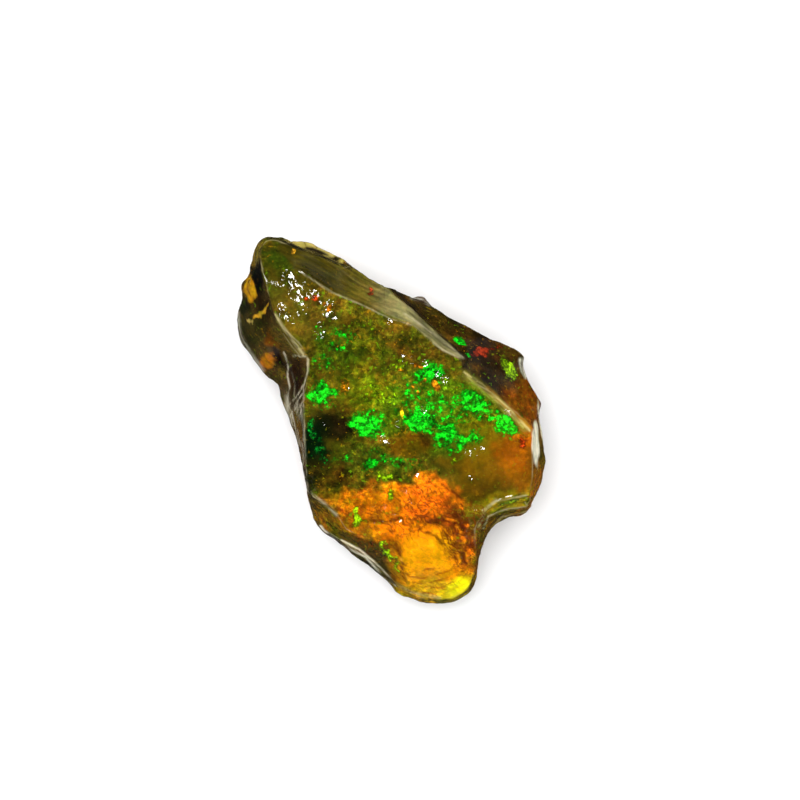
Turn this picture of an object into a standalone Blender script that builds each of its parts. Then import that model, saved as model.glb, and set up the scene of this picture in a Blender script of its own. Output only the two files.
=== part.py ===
"""A rough opal: one broken piece of stone, lying on the flat break of its underside.

+X and +Y lie as seen from straight above, +Z is up, and the origin is under the stone's middle.

The stone is drawn as a map. Its rim, the line round it as seen from above, parts the upper side
from the underside. Each side is a net of triangles stretched like a film between the rim and the
ridges that part one broken face from the next. After that come the lumps and the hollows that a
blow leaves. A point of the map is (x, y, height), in millimetres.
"""

import math

import bmesh
import bpy
import numpy as np
from mathutils import Vector, noise
from mathutils.geometry import delaunay_2d_cdt

MM = 0.001

# Overall size of the stone in mm
WIDTH = 28.0
LENGTH = 33.2
HEIGHT = 12.7

# The net: distance between neighbouring points in mm, and how it is evened out
UPPER_STEP = 0.56
UNDER_STEP = 0.90
JITTER = 0.22
CLEAR_OF_LINES = 0.62
JOIN_WITHIN = 0.30
MERGE_WITHIN = 1e-4
CORNER_SWELL = 0.35
MOST_CORNER_ROUNDS = 4
LONGEST_UPPER_EDGE = 0.92
LONGEST_UNDER_EDGE = 1.45
MOST_SPLIT_ROUNDS = 4
FILM_ROUNDS = 1500
EVENING_ROUNDS = 30
EVENING_SHARE = 0.6
SEED = 7

# Relief in mm: broad waves everywhere, and rough ones on the steep sides
WAVE_HEIGHT = 0.10
WAVE_SIZE = 2.6
ROUGH_HEIGHT = 0.16
ROUGH_SIZE = 1.3
ROUGH_START = Vector((9, 4, 2))

# How fast a lump falls off, and where it ends, in its own radii
LUMP_FALL = 1.4
LUMP_REACH = 2.5

# How much of the relief reaches a ridge, and the heights in mm between which it comes in
RIDGE_SHARE = 0.55
RELIEF_FROM = 0.02
RELIEF_RISE = 0.8

# How far a hollow is pressed in, and the lowest that it goes in mm
HOLLOW_SHARE = 0.8
HOLLOW_FLOOR = 0.03

# A point below this height in mm belongs to the flat break, and a face that leans up more is an upper one
ON_BREAK = 1e-6
LEANS_UP = 0.05

SHARP_ANGLE = math.radians(26)
NEVER_ZERO = 1e-12

# The stone as one plain material
BODY_COLOUR = (0.23, 0.13, 0.02, 1)
ROUGHNESS = 0.12
IOR = 1.45
TRANSMISSION = 0.5

RIM = [
    (-10.9, 16.6, 9.6), (-12.1, 16.0, 9.0), (-12.5, 15.0, 8.4), (-13.0, 13.0, 7.2), (-13.6, 11.2, 6.2),
    (-14.0, 9.2, 5.4), (-13.6, 7.2, 5.0), (-12.4, 5.4, 5.0), (-11.3, 4.0, 5.2), (-10.3, 3.3, 5.5),
    (-10.1, 2.1, 5.4), (-9.6, 1.0, 5.2), (-9.1, -0.5, 5.2), (-8.5, -2.2, 5.2), (-8.0, -4.4, 5.1),
    (-7.6, -6.8, 5.0), (-7.2, -8.6, 4.8), (-6.6, -9.7, 4.6), (-5.0, -10.9, 4.6), (-3.1, -12.5, 4.5),
    (-1.3, -13.8, 4.3), (0.0, -15.0, 4.0), (0.6, -15.7, 3.8), (2.0, -16.2, 3.7), (3.0, -16.6, 3.6),
    (4.4, -16.6, 3.6), (5.8, -16.4, 3.7), (7.4, -15.3, 3.9), (8.0, -13.5, 4.2), (8.1, -11.9, 4.6),
    (8.9, -10.5, 5.0), (9.8, -9.3, 5.5), (11.1, -8.7, 6.0), (12.2, -8.3, 6.3), (12.9, -6.8, 6.6),
    (13.6, -5.3, 6.8), (14.0, -3.0, 7.1), (13.6, -0.9, 7.3), (13.3, 0.5, 7.4), (13.5, 1.5, 7.5),
    (13.3, 2.3, 7.7), (12.5, 3.3, 7.9), (12.1, 4.2, 8.0), (11.9, 5.2, 8.1), (12.0, 5.8, 8.2),
    (11.6, 6.3, 8.4), (10.1, 7.0, 8.6), (6.7, 8.6, 8.8), (4.4, 9.9, 8.9), (3.5, 10.5, 8.4),
    (2.8, 11.3, 6.2), (1.9, 11.3, 6.4), (1.2, 11.5, 8.8), (-0.1, 12.1, 9.1), (-1.9, 12.9, 9.2),
    (-3.4, 13.8, 9.0), (-4.5, 14.8, 6.6), (-5.8, 15.4, 6.2), (-7.2, 16.2, 6.0), (-7.9, 16.4, 6.0),
    (-9.1, 16.3, 6.6), (-9.9, 16.5, 9.2),
]

UPPER_RIDGES = {
    "left edge of the front face": [
        (-11.6, 15.7, 10.9), (-11.7, 14.7, 11.6), (-11.5, 13.5, 12.0), (-11.1, 12.0, 12.3),
        (-10.5, 9.9, 12.4), (-9.8, 8.6, 12.4), (-8.0, 6.7, 12.2), (-7.4, 5.5, 12.0),
        (-7.5, 3.9, 11.8), (-7.9, 1.8, 11.5), (-7.8, 0.2, 11.4), (-7.7, -3.4, 11.0),
        (-7.5, -5.6, 10.5), (-7.1, -6.7, 10.1),
    ],
    "lower left corner": [
        (-7.1, -6.7, 10.1), (-6.2, -7.2, 9.8), (-5.4, -7.6, 9.5), (-4.9, -8.3, 9.2), (-4.4, -9.2, 8.9),
        (-4.1, -9.7, 8.7),
    ],
    "corner facet's left edge": [(-7.1, -6.7, 10.1), (-7.2, -7.3, 7.8), (-7.2, -8.0, 5.4)],
    "lower left bevel": [
        (-6.2, -9.6, 6.3), (-4.6, -10.7, 7.0), (-3.3, -11.6, 7.2), (-1.9, -12.5, 7.1),
        (-0.5, -13.5, 6.6), (0.1, -14.4, 6.0), (0.7, -15.1, 5.4), (1.5, -15.6, 5.2), (2.6, -16.0, 5.1),
    ],
    "side of the lobe": [
        (-4.1, -9.7, 8.7), (-3.0, -10.1, 8.9), (-1.7, -10.5, 9.0), (-0.3, -10.8, 9.0),
        (0.5, -11.6, 8.8), (0.9, -12.6, 8.4), (1.2, -13.8, 7.8), (1.6, -14.9, 6.6), (1.5, -15.6, 5.2),
    ],
    "rim of the lobe": [
        (2.6, -16.0, 5.1), (4.4, -16.1, 5.4), (5.8, -15.8, 5.7), (6.8, -15.0, 6.2), (7.4, -13.9, 6.7),
        (7.6, -12.7, 7.2), (7.7, -11.7, 7.6),
    ],
    "crease across the lobe": [
        (1.8, -8.6, 9.3), (3.2, -9.2, 8.9), (4.5, -10.2, 8.4), (5.6, -11.4, 8.0), (6.6, -12.6, 7.6),
    ],
    "top of the scoop": [
        (7.7, -11.7, 7.6), (7.5, -10.7, 8.2), (7.5, -9.6, 8.8), (7.9, -8.6, 9.3), (8.6, -7.8, 9.7),
        (9.5, -7.2, 10.0), (10.7, -6.9, 10.1), (12.4, -6.6, 10.2),
    ],
    "step in the scoop": [
        (8.4, -11.2, 6.2), (8.5, -10.1, 6.8), (8.8, -9.1, 7.4), (9.4, -8.4, 7.9), (10.3, -8.1, 8.3),
        (11.3, -7.9, 8.6), (12.2, -7.6, 8.8),
    ],
    "right edge of the front face": [
        (12.4, -6.6, 10.2), (12.6, -4.8, 10.5), (12.6, -1.8, 10.8), (12.7, -0.6, 10.8),
    ],
    "step on the right side": [
        (12.2, -7.6, 8.8), (12.9, -5.9, 8.8), (13.2, -3.0, 9.1), (13.1, 0.5, 9.1), (13.2, 1.8, 8.8),
    ],
    "right corner of the front face": [
        (12.7, -0.6, 10.8), (10.7, 1.2, 11.3), (8.9, 2.6, 11.7), (7.1, 3.8, 12.1), (6.3, 4.9, 12.2),
    ],
    "foot of the pale bevel": [
        (-8.4, 13.5, 12.3), (-7.6, 13.3, 12.4), (-6.4, 12.2, 12.5), (-5.5, 11.6, 12.5),
        (-2.8, 10.5, 12.5), (-0.1, 9.2, 12.5), (0.8, 8.9, 12.5), (1.7, 8.7, 12.5), (2.6, 8.1, 12.5),
        (4.4, 6.6, 12.4), (5.3, 6.0, 12.3), (6.3, 4.9, 12.2),
    ],
    "head of the pale bevel": [
        (-0.6, 12.2, 9.2), (-0.1, 11.8, 10.6), (0.5, 11.1, 11.1), (1.9, 10.0, 11.2), (3.5, 8.5, 11.3),
        (5.3, 6.8, 11.6), (6.0, 6.2, 11.8), (6.3, 4.9, 12.2),
    ],
    "crest behind the pale bevel": [
        (-11.6, 15.7, 10.9), (-11.2, 16.2, 10.6), (-10.5, 16.3, 10.5), (-9.8, 16.1, 10.5),
        (-8.2, 15.4, 10.6), (-6.4, 14.8, 10.7), (-5.2, 14.2, 10.6), (-4.2, 13.8, 10.2), (-3.4, 13.8, 9.0),
    ],
    "back of the ledge": [
        (-9.1, 16.1, 7.2), (-7.3, 15.4, 7.2), (-5.5, 14.7, 7.2), (-4.7, 14.3, 7.4),
    ],
    "back of the spur": [(1.7, 11.1, 7.5), (2.3, 11.0, 7.4), (3.0, 10.7, 7.5)],
    "fold in the left flank": [
        (-10.4, 7.2, 9.4), (-9.4, 6.2, 9.6), (-8.8, 5.2, 9.6), (-8.7, 4.1, 9.2), (-9.0, 3.0, 8.4),
        (-9.3, 2.0, 7.0),
    ],
    "shoulder of the left flank": [
        (-12.2, 14.9, 9.6), (-12.5, 12.9, 9.0), (-12.8, 11.1, 8.6), (-12.8, 9.3, 8.2),
        (-12.3, 7.7, 7.9), (-11.6, 6.4, 7.6), (-10.9, 5.2, 7.0), (-10.3, 4.1, 6.2),
    ],
}

UNDER_RIDGES = {
    "flat break that it rests on": [
        (-8.6, 11.6, 0), (-5.2, 11.8, 0), (-1.6, 9.4, 0), (3.2, 6.6, 0), (7.6, 4.0, 0), (9.2, 0.6, 0),
        (8.8, -3.6, 0), (6.4, -6.6, 0), (4.6, -8.4, 0), (4.4, -11.4, 0), (2.8, -12.4, 0),
        (0.2, -9.8, 0), (-3.0, -6.6, 0), (-4.4, -2.6, 0), (-5.4, 1.0, 0), (-8.0, 5.0, 0),
        (-9.6, 8.2, 0), (-9.6, 10.4, 0), (-8.6, 11.6, 0),
    ],
    "hip": [
        (-10.9, 15.2, 4.2), (-12.0, 12.6, 3.2), (-12.9, 9.4, 2.6), (-12.3, 6.6, 2.4), (-10.3, 4.3, 2.9),
        (-9.0, 2.4, 2.6), (-8.3, -1.0, 2.5), (-7.1, -4.8, 2.7), (-6.7, -8.4, 2.3), (-4.2, -10.4, 2.0),
        (-1.4, -12.6, 2.2), (0.9, -14.8, 2.2), (3.2, -15.7, 1.6), (5.4, -15.5, 1.8), (6.9, -13.8, 2.1),
        (7.0, -11.3, 2.8), (8.4, -8.9, 3.2), (11.0, -7.5, 3.6), (12.5, -4.9, 3.3), (12.9, -2.2, 3.8),
        (12.3, 0.9, 3.4), (11.3, 3.3, 4.0), (10.6, 5.5, 4.6), (7.2, 7.4, 4.2), (3.6, 9.1, 4.6),
        (0.8, 10.5, 4.2), (-2.3, 12.2, 4.6), (-5.4, 14.2, 3.6), (-8.4, 15.4, 3.7), (-10.9, 15.2, 4.2),
    ],
    "rib under the tip": [(-11.8, 15.9, 8.8), (-10.9, 15.2, 4.2), (-8.6, 11.6, 0)],
    "rib under the ledge": [(-5.8, 15.2, 5.6), (-5.4, 14.2, 3.6), (-5.2, 11.8, 0)],
    "rib under the bevel": [(1.0, 11.2, 8.0), (0.8, 10.5, 4.2), (-1.6, 9.4, 0)],
    "rib under the right shoulder": [(11.4, 6.0, 7.8), (10.6, 5.5, 4.6), (7.6, 4.0, 0)],
    "rib under the right side": [(13.6, -4.0, 6.4), (12.5, -4.9, 3.3), (8.8, -3.6, 0)],
    "rib in the scoop": [(8.8, -10.2, 4.6), (8.4, -8.9, 3.2), (6.4, -6.6, 0)],
    "rib under the lobe": [(5.6, -16.1, 3.2), (5.4, -15.5, 1.8), (4.4, -11.4, 0)],
    "rib at the lower left": [(-3.2, -12.1, 4.0), (-1.4, -12.6, 2.2), (0.2, -9.8, 0)],
    "rib at the left waist": [(-9.4, 1.2, 4.8), (-8.3, -1.0, 2.5), (-5.4, 1.0, 0)],
    "rib under the left flank": [(-13.7, 8.8, 4.8), (-12.3, 6.6, 2.4), (-9.6, 8.2, 0)],
}

# Lumps raised on the upper side, as (x, y, radius, height), and pits, whose height is negative
LUMPS = [
    (3.6, -12.4, 2.0, 0.75), (5.2, -14.4, 1.3, 0.40), (2.9, -6.6, 2.4, 0.50), (-2.8, -7.4, 2.0, 0.28),
    (0.6, -9.6, 1.3, 0.28), (6.9, -9.6, 1.1, 0.35), (-9.6, 12.3, 1.3, 0.22), (-7.8, 10.9, 1.5, 0.24),
    (-5.6, 9.4, 1.3, 0.22), (-3.0, 4.0, 2.6, 0.18), (5.4, 1.2, 2.6, 0.16), (-12.9, 12.2, 1.0, 0.45),
    (-12.6, 8.2, 1.3, 0.35), (-11.2, 5.8, 0.9, 0.40), (-9.3, 4.9, 0.7, 0.25),
    (-8.7, 12.6, 0.6, -0.22), (-7.2, 9.7, 0.6, -0.20), (-6.4, 8.2, 0.7, -0.20), (1.2, 5.2, 0.8, -0.20),
    (4.6, 4.2, 0.7, -0.18), (7.4, -2.6, 0.8, -0.18), (-3.6, -1.6, 1.6, -0.22), (9.4, -3.6, 1.8, -0.18),
    (2.4, -4.9, 1.0, -0.22), (0.4, -3.9, 1.2, 0.18), (-12.4, 14.0, 0.7, -0.35), (-11.6, 10.9, 0.8, -0.35),
]

# Hollows that blows left, as (point on the surface, direction out of the stone, radius, depth)
HOLLOWS = [
    ((13.4, -2.0, 5.6), (1.0, 0.1, -0.2), 4.2, 0.55), ((12.4, 2.6, 5.6), (1.0, 0.5, -0.1), 3.6, 0.55),
    ((8.2, 7.4, 6.2), (0.5, 1.0, -0.1), 4.6, 0.70), ((4.6, 8.6, 2.6), (0.4, 0.9, -0.6), 3.4, 0.60),
    ((-1.0, 11.6, 6.6), (0.4, 1.0, 0.0), 4.0, 0.60), ((-3.6, 11.8, 2.4), (0.2, 0.9, -0.7), 3.2, 0.60),
    ((-12.6, 12.2, 5.0), (-1.0, 0.3, -0.3), 3.2, 0.45), ((-12.6, 6.4, 3.6), (-1.0, -0.5, -0.4), 2.8, 0.50),
    ((-8.6, -2.6, 3.6), (-1.0, 0.0, -0.4), 3.6, 0.45), ((-7.0, -7.6, 3.4), (-1.0, -0.2, -0.5), 2.8, 0.45),
    ((-2.4, -12.2, 3.0), (-0.6, -0.9, -0.4), 3.4, 0.50), ((3.6, -15.9, 2.4), (0.0, -1.0, -0.4), 3.2, 0.40),
    ((7.4, -12.6, 3.2), (1.0, -0.2, -0.3), 2.8, 0.45), ((9.6, -8.4, 4.4), (0.6, -1.0, -0.2), 3.0, 0.50),
    ((10.6, -4.6, 1.4), (0.6, -0.2, -1.0), 4.0, 0.55), ((-6.4, -1.2, 0.9), (-0.7, -0.2, -1.0), 4.0, 0.50),
    ((9.4, 3.4, 1.8), (0.6, 0.3, -1.0), 3.6, 0.50), ((-11.0, 9.6, 1.0), (-0.6, 0.0, -1.0), 3.2, 0.45),
    ((6.0, -10.0, 0.8), (0.8, -0.2, -1.0), 2.8, 0.40), ((-10.2, 13.8, 2.4), (-0.6, 0.8, -0.8), 2.8, 0.45),
]


def clear_scene():
    for obj in list(bpy.data.objects):
        bpy.data.objects.remove(obj, do_unlink=True)


def curve_point(points, share):
    """The point this share of the way from the second to the third of four points, on a smooth curve."""
    a, b, c, d = points
    knots = [0.0]
    for start, end in ((a, b), (b, c), (c, d)):
        knots.append(knots[-1] + max(math.sqrt((end - start).length), NEVER_ZERO))
    at = knots[1] + share * (knots[2] - knots[1])

    def between(p, q, low, high):
        return p + (q - p) * ((at - low) / (high - low))

    first = [between(points[i], points[i + 1], knots[i], knots[i + 1]) for i in range(3)]
    second = [between(first[i], first[i + 1], knots[i], knots[i + 2]) for i in range(2)]
    return between(second[0], second[1], knots[1], knots[2])


def smooth_line(points, step, closed=False):
    """Points about one step apart on a smooth curve through the given ones."""
    given = [Vector(point) for point in points]
    if closed:
        before, after = given[-1], given[0:2]
    else:
        before = given[0] * 2 - given[1]
        after = [given[-1] * 2 - given[-2]]
    row = [before] + given + after
    line = []
    for i in range(len(row) - 3):
        four = row[i : i + 4]
        parts = max(1, round((four[2] - four[1]).length / step))
        line += [curve_point(four, k / parts) for k in range(parts)]
    if not closed:
        line.append(given[-1])
    return line


def inside(points, loop):
    """For each point of the map, whether it lies inside the loop."""
    found = np.zeros(len(points), bool)
    x, y = points[:, 0], points[:, 1]
    for (x0, y0), (x1, y1) in zip(loop, np.roll(loop, -1, axis=0)):
        crosses = (y0 > y) != (y1 > y)
        found ^= crosses & (x < (x1 - x0) * (y - y0) / (y1 - y0 + NEVER_ZERO) + x0)
    return found


def grid_points(rim, taken, step, seed):
    """Free points of the map, in uneven rows of near equal triangles, clear of those already taken."""
    random = np.random.default_rng(seed)
    low, high = rim.min(axis=0), rim.max(axis=0)
    rows = []
    for row, y in enumerate(np.arange(low[1], high[1], step * math.sqrt(0.75))):
        x = np.arange(low[0] + (row % 2) * step / 2, high[0], step)
        rows.append(np.stack([x, np.full(len(x), y)], axis=1))
    grid = np.concatenate(rows)
    grid += random.uniform(-JITTER, JITTER, grid.shape) * step
    grid = grid[inside(grid, rim)]
    apart = np.linalg.norm(grid[:, None] - taken[None], axis=2).min(axis=1)
    return grid[apart > CLEAR_OF_LINES * step]


def film(heights, known, links, rounds):
    """The heights of the free points when the net is pulled tight between the known ones."""
    count = np.bincount(links.ravel(), minlength=len(heights))
    free = ~known
    heights = heights.copy()
    heights[free] = heights[known].mean()
    for _ in range(rounds):
        total = np.bincount(links[:, 0], heights[links[:, 1]], len(heights))
        total += np.bincount(links[:, 1], heights[links[:, 0]], len(heights))
        heights[free] = total[free] / count[free]
    return heights


def chord_middles(links, rim_place, places, rim_count):
    """Middles of the edges that cut across the map from rim to rim, which both sides would share."""
    middles = []
    for a, b in links:
        if rim_place[a] < 0 or rim_place[b] < 0:
            continue
        if (rim_place[a] - rim_place[b]) % rim_count not in (1, rim_count - 1):
            middles.append((places[a] + places[b]) / 2)
    return middles


def net_lines(rim, ridges, step):
    """The points of the rim and the ridges, each ridge joined to what it meets, and the ridges' edges."""
    points = list(rim)
    pairs = []
    for ridge in ridges.values():
        chain = []
        for point in smooth_line(ridge, step):
            gaps = [(point.xy - other.xy).length for other in points]
            nearest = int(np.argmin(gaps))
            if gaps[nearest] < JOIN_WITHIN:
                chain.append(nearest)
            else:
                points.append(point)
                chain.append(len(points) - 1)
        pairs += [(a, b) for a, b in zip(chain, chain[1:]) if a != b]
    return points, pairs


def triangulated(points, free, pairs, rim_count):
    """The net through these points: places, triangles, links, ridge edges, known heights and rim places."""
    every = [point.xy for point in points] + [Vector(point) for point in free]
    verts, edges, faces, from_verts, from_edges, _ = delaunay_2d_cdt(
        every, pairs, [list(range(rim_count))], 1, MERGE_WITHIN, True
    )
    places = np.array([(vert.x, vert.y, 0.0) for vert in verts])
    known = np.zeros(len(verts), bool)
    rim_place = np.full(len(verts), -1)
    for i, sources in enumerate(from_verts):
        fixed = [s for s in sources if s < len(points)]
        if fixed:
            places[i, 2] = np.mean([points[s].z for s in fixed])
            known[i] = True
            rim_place[i] = fixed[0] if fixed[0] < rim_count else -1
    faces = np.array(faces)
    outline = np.array([point.xy for point in points[:rim_count]])
    faces = faces[inside(places[faces][:, :, :2].mean(axis=1), outline)]
    links = np.concatenate([faces[:, [0, 1]], faces[:, [1, 2]], faces[:, [2, 0]]])
    links = np.unique(np.sort(links, axis=1), axis=0)
    sharp = [edge for edge, sources in zip(edges, from_edges) if sources]
    return places, faces, links, sharp, known, rim_place


def stretched_net(rim, ridges, step, seed, side):
    """One side of the stone: its points, triangles, ridge edges, and each point's place in the rim."""
    points, pairs = net_lines(rim, ridges, step)
    taken = np.array([point.xy for point in points])
    free = grid_points(taken[: len(rim)], taken, step, seed)
    for _ in range(MOST_CORNER_ROUNDS):
        places, faces, links, sharp, known, rim_place = triangulated(points, free, pairs, len(rim))
        middles = chord_middles(links, rim_place, places, len(rim))
        if not middles:
            break
        points += [Vector(middle) + Vector((0, 0, side * CORNER_SWELL)) for middle in middles]
    places[:, 2] = film(places[:, 2], known, links, FILM_ROUNDS)
    return places, faces, sharp, rim_place


def closed_stone():
    """Both nets joined along the rim, as a mesh in mm whose sharp edges are the rim and the ridges."""
    rim = smooth_line(RIM, UPPER_STEP, closed=True)
    mesh = bmesh.new()
    rim_verts = [mesh.verts.new(point) for point in rim]
    sides = ((UPPER_RIDGES, UPPER_STEP, SEED, 1), (UNDER_RIDGES, UNDER_STEP, SEED + 1, -1))
    for ridges, step, seed, side in sides:
        places, faces, sharp, rim_place = stretched_net(rim, ridges, step, seed, side)
        verts = [
            rim_verts[at] if at >= 0 else mesh.verts.new(place)
            for place, at in zip(places, rim_place)
        ]
        for face in faces:
            order = face if side > 0 else reversed(face)
            mesh.faces.new([verts[i] for i in order])
        for a, b in sharp:
            edge = mesh.edges.get((verts[a], verts[b]))
            if edge:
                edge.smooth = False
    loose = [vert for vert in mesh.verts if not vert.link_faces]
    bmesh.ops.delete(mesh, geom=loose, context="VERTS")
    bmesh.ops.recalc_face_normals(mesh, faces=mesh.faces)
    return mesh


def split_long_edges(mesh):
    """Steep places were drawn short on the map, so their edges are halved until none is long."""
    for _ in range(MOST_SPLIT_ROUNDS):
        long_edges = []
        for edge in mesh.edges:
            faces_up = any(face.normal.z > LEANS_UP for face in edge.link_faces)
            limit = LONGEST_UPPER_EDGE if faces_up else LONGEST_UNDER_EDGE
            flat = all(vert.co.z < ON_BREAK for vert in edge.verts)
            if edge.calc_length() > limit and not flat:
                long_edges.append(edge)
        if not long_edges:
            break
        bmesh.ops.subdivide_edges(mesh, edges=long_edges, cuts=1)
        wide = [face for face in mesh.faces if len(face.verts) > 3]
        bmesh.ops.triangulate(mesh, faces=wide)
        soft = [edge for edge in mesh.edges if edge.smooth]
        bmesh.ops.beautify_fill(mesh, faces=mesh.faces, edges=soft, method="ANGLE")
        mesh.normal_update()


def even_out(mesh):
    """Pulls the free points to the middle of their neighbours, which evens the net between ridges."""
    mesh.verts.index_update()
    places = np.array([vert.co for vert in mesh.verts])
    links = np.array([[vert.index for vert in edge.verts] for edge in mesh.edges])
    free = np.array([all(edge.smooth for edge in vert.link_edges) for vert in mesh.verts])
    count = np.bincount(links.ravel(), minlength=len(places))[:, None]
    for _ in range(EVENING_ROUNDS):
        total = np.zeros_like(places)
        np.add.at(total, links[:, 0], places[links[:, 1]])
        np.add.at(total, links[:, 1], places[links[:, 0]])
        places[free] = (places * (1 - EVENING_SHARE) + total / count * EVENING_SHARE)[free]
    for vert, place in zip(mesh.verts, places):
        vert.co = place
    mesh.normal_update()


def relief_at(place, normal):
    """How far the surface stands out at this place, in mm."""
    height = WAVE_HEIGHT * noise.noise(place / WAVE_SIZE)
    steep = 1 - abs(normal.z)
    height += ROUGH_HEIGHT * steep * noise.noise(place / ROUGH_SIZE + ROUGH_START)
    if normal.z > 0:
        for x, y, radius, top in LUMPS:
            gap = math.hypot(place.x - x, place.y - y) / radius
            if gap < LUMP_REACH:
                height += top * math.exp(-gap * gap * LUMP_FALL)
    return height


def add_relief(mesh):
    """Moves each point along its normal, least at the flat break that the stone rests on."""
    shifts = []
    for vert in mesh.verts:
        clear_of_base = min(1.0, max(0.0, (vert.co.z - RELIEF_FROM) / RELIEF_RISE))
        on_ridge = any(not edge.smooth for edge in vert.link_edges)
        share = clear_of_base * (RIDGE_SHARE if on_ridge else 1.0)
        shifts.append(vert.normal * relief_at(vert.co, vert.normal) * share)
    for vert, shift in zip(mesh.verts, shifts):
        vert.co += shift


def strike_hollows(mesh):
    """Presses the surface in wherever it lies inside one of the round hollows."""
    for point, direction, radius, depth in HOLLOWS:
        centre = Vector(point) + Vector(direction).normalized() * (radius - depth)
        for vert in mesh.verts:
            away = vert.co - centre
            if away.length < radius and vert.co.z > ON_BREAK:
                pushed = centre + away.normalized() * radius
                pushed.z = max(pushed.z, HOLLOW_FLOOR)
                vert.co = vert.co.lerp(pushed, HOLLOW_SHARE)
    mesh.normal_update()


def fit_to_size(mesh):
    """Scales the stone to its overall size, in metres, with the origin under its middle."""
    places = np.array([vert.co for vert in mesh.verts])
    low, high = places.min(axis=0), places.max(axis=0)
    scale = np.array([WIDTH, LENGTH, HEIGHT]) * MM / (high - low)
    middle = (low + high) / 2
    middle[2] = low[2]
    for vert, place in zip(mesh.verts, (places - middle) * scale):
        vert.co = place


def opal_material():
    material = bpy.data.materials.new("opal")
    material.use_nodes = True
    shader = material.node_tree.nodes["Principled BSDF"]
    shader.inputs["Base Color"].default_value = BODY_COLOUR
    shader.inputs["Roughness"].default_value = ROUGHNESS
    shader.inputs["Metallic"].default_value = 0.0
    shader.inputs["IOR"].default_value = IOR
    shader.inputs["Transmission Weight"].default_value = TRANSMISSION
    return material


def rough_opal():
    stone = closed_stone()
    split_long_edges(stone)
    even_out(stone)
    add_relief(stone)
    strike_hollows(stone)
    fit_to_size(stone)
    mesh = bpy.data.meshes.new("rough_opal")
    stone.to_mesh(mesh)
    stone.free()
    mesh.shade_smooth()
    mesh.set_sharp_from_angle(angle=SHARP_ANGLE)
    mesh.materials.append(opal_material())
    obj = bpy.data.objects.new("rough_opal", mesh)
    bpy.context.scene.collection.objects.link(obj)
    return obj


clear_scene()
rough_opal()
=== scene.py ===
import math

import bpy
import numpy as np
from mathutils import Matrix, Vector, noise


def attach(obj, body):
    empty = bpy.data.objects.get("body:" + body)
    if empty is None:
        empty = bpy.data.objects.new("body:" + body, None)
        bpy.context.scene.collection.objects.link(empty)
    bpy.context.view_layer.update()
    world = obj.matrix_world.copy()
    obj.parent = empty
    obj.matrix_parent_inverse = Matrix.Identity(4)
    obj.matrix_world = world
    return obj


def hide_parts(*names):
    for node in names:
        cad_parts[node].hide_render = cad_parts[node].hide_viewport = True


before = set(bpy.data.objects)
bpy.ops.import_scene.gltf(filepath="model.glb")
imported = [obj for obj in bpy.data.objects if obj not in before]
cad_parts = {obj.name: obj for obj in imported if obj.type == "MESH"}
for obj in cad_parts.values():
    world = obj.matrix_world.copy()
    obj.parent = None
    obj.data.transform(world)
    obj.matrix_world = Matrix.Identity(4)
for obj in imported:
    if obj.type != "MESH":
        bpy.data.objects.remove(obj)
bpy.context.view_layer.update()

# Lengths are in mm wherever a name or comment doesn't say metres, and the frame is in metres
MM = 0.001

# The camera: straight above the stone
MM_PER_PIXEL = 0.09
FRAME_PIXELS = 800
LENS = 180.0
SENSOR = 36.0
VIEW_CENTRE = (0.81, 1.94)
RIM_HEIGHT = 8.0

# The mesh: edges sharper than this stay ridges for the first of two rounds of smoothing
RIDGE_ANGLE = math.radians(22)
MERGE_WITHIN = 0.001

# Keeps a division from failing
TINY = 1e-12

# How far a step of the seed moves the noise
SEED_STEPS = (17.3, 5.1, 9.7)


# Noise, and shapes on the map of the stone as seen from above

def at_noise(points, size, seed):
    """Smooth noise, from about -1 to 1, at each point; size is that of its blotches."""
    shift = Vector([seed * step for step in SEED_STEPS])
    return np.array([noise.noise(Vector(p) / size + shift) for p in points])


def ridged(points, size, seed):
    """Noise folded over, from about -1 to 1, with sharp crests."""
    return 1 - 2 * np.abs(at_noise(points, size, seed))


def stretched(points, run, length, width):
    """The points in lengths along a run of the map and in widths across it."""
    reach = math.hypot(run[0], run[1])
    x, y = run[0] / reach, run[1] / reach
    first = points[:, 0] * x + points[:, 1] * y
    second = points[:, 1] * x - points[:, 0] * y
    return np.stack([first / length, second / width, points[:, 2] / width], axis=1)


def streaky(points, run, length, width, seed):
    """Noise drawn out into streaks along a run of the map."""
    return at_noise(stretched(points, run, length, width), 1.0, seed)


def drift(points, reach, size, seed):
    """A shift over the map for each point, for ragged outlines."""
    return reach * np.stack([at_noise(points, size, seed), at_noise(points, size, seed + 1)], axis=1)


def shifted(points, shift):
    moved = points.copy()
    moved[:, :2] += shift
    return moved


def rise(values, low, high):
    share = np.clip((values - low) / (high - low), 0, 1)
    return share * share * (3 - 2 * share)


def facing_up(normals, low, high):
    """0 where a normal's share of straight up is under low, 1 where it's over high."""
    return rise(normals[:, 2], low, high)


def upper_side(normals):
    """1 on the upper side and 0 on the walls under the rim, which lean outward and down."""
    return facing_up(normals, -0.05, 0.2)


def disc(points, spot, radii, turn=0.0, edge=0.5):
    """1 inside an ellipse of the map and 0 outside, fading over a share edge of its radius."""
    c, s = math.cos(math.radians(turn)), math.sin(math.radians(turn))
    x, y = points[:, 0] - spot[0], points[:, 1] - spot[1]
    far = np.hypot((x * c + y * s) / radii[0], (y * c - x * s) / radii[1])
    return 1 - rise(far, 1 - edge, 1 + edge)


def off_stretch(points, start, end):
    """How far each point is from a straight stretch of the map."""
    x, y = points[:, 0] - start[0], points[:, 1] - start[1]
    run_x, run_y = end[0] - start[0], end[1] - start[1]
    along = np.clip((x * run_x + y * run_y) / (run_x ** 2 + run_y ** 2), 0, 1)
    return np.hypot(x - along * run_x, y - along * run_y)


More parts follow.
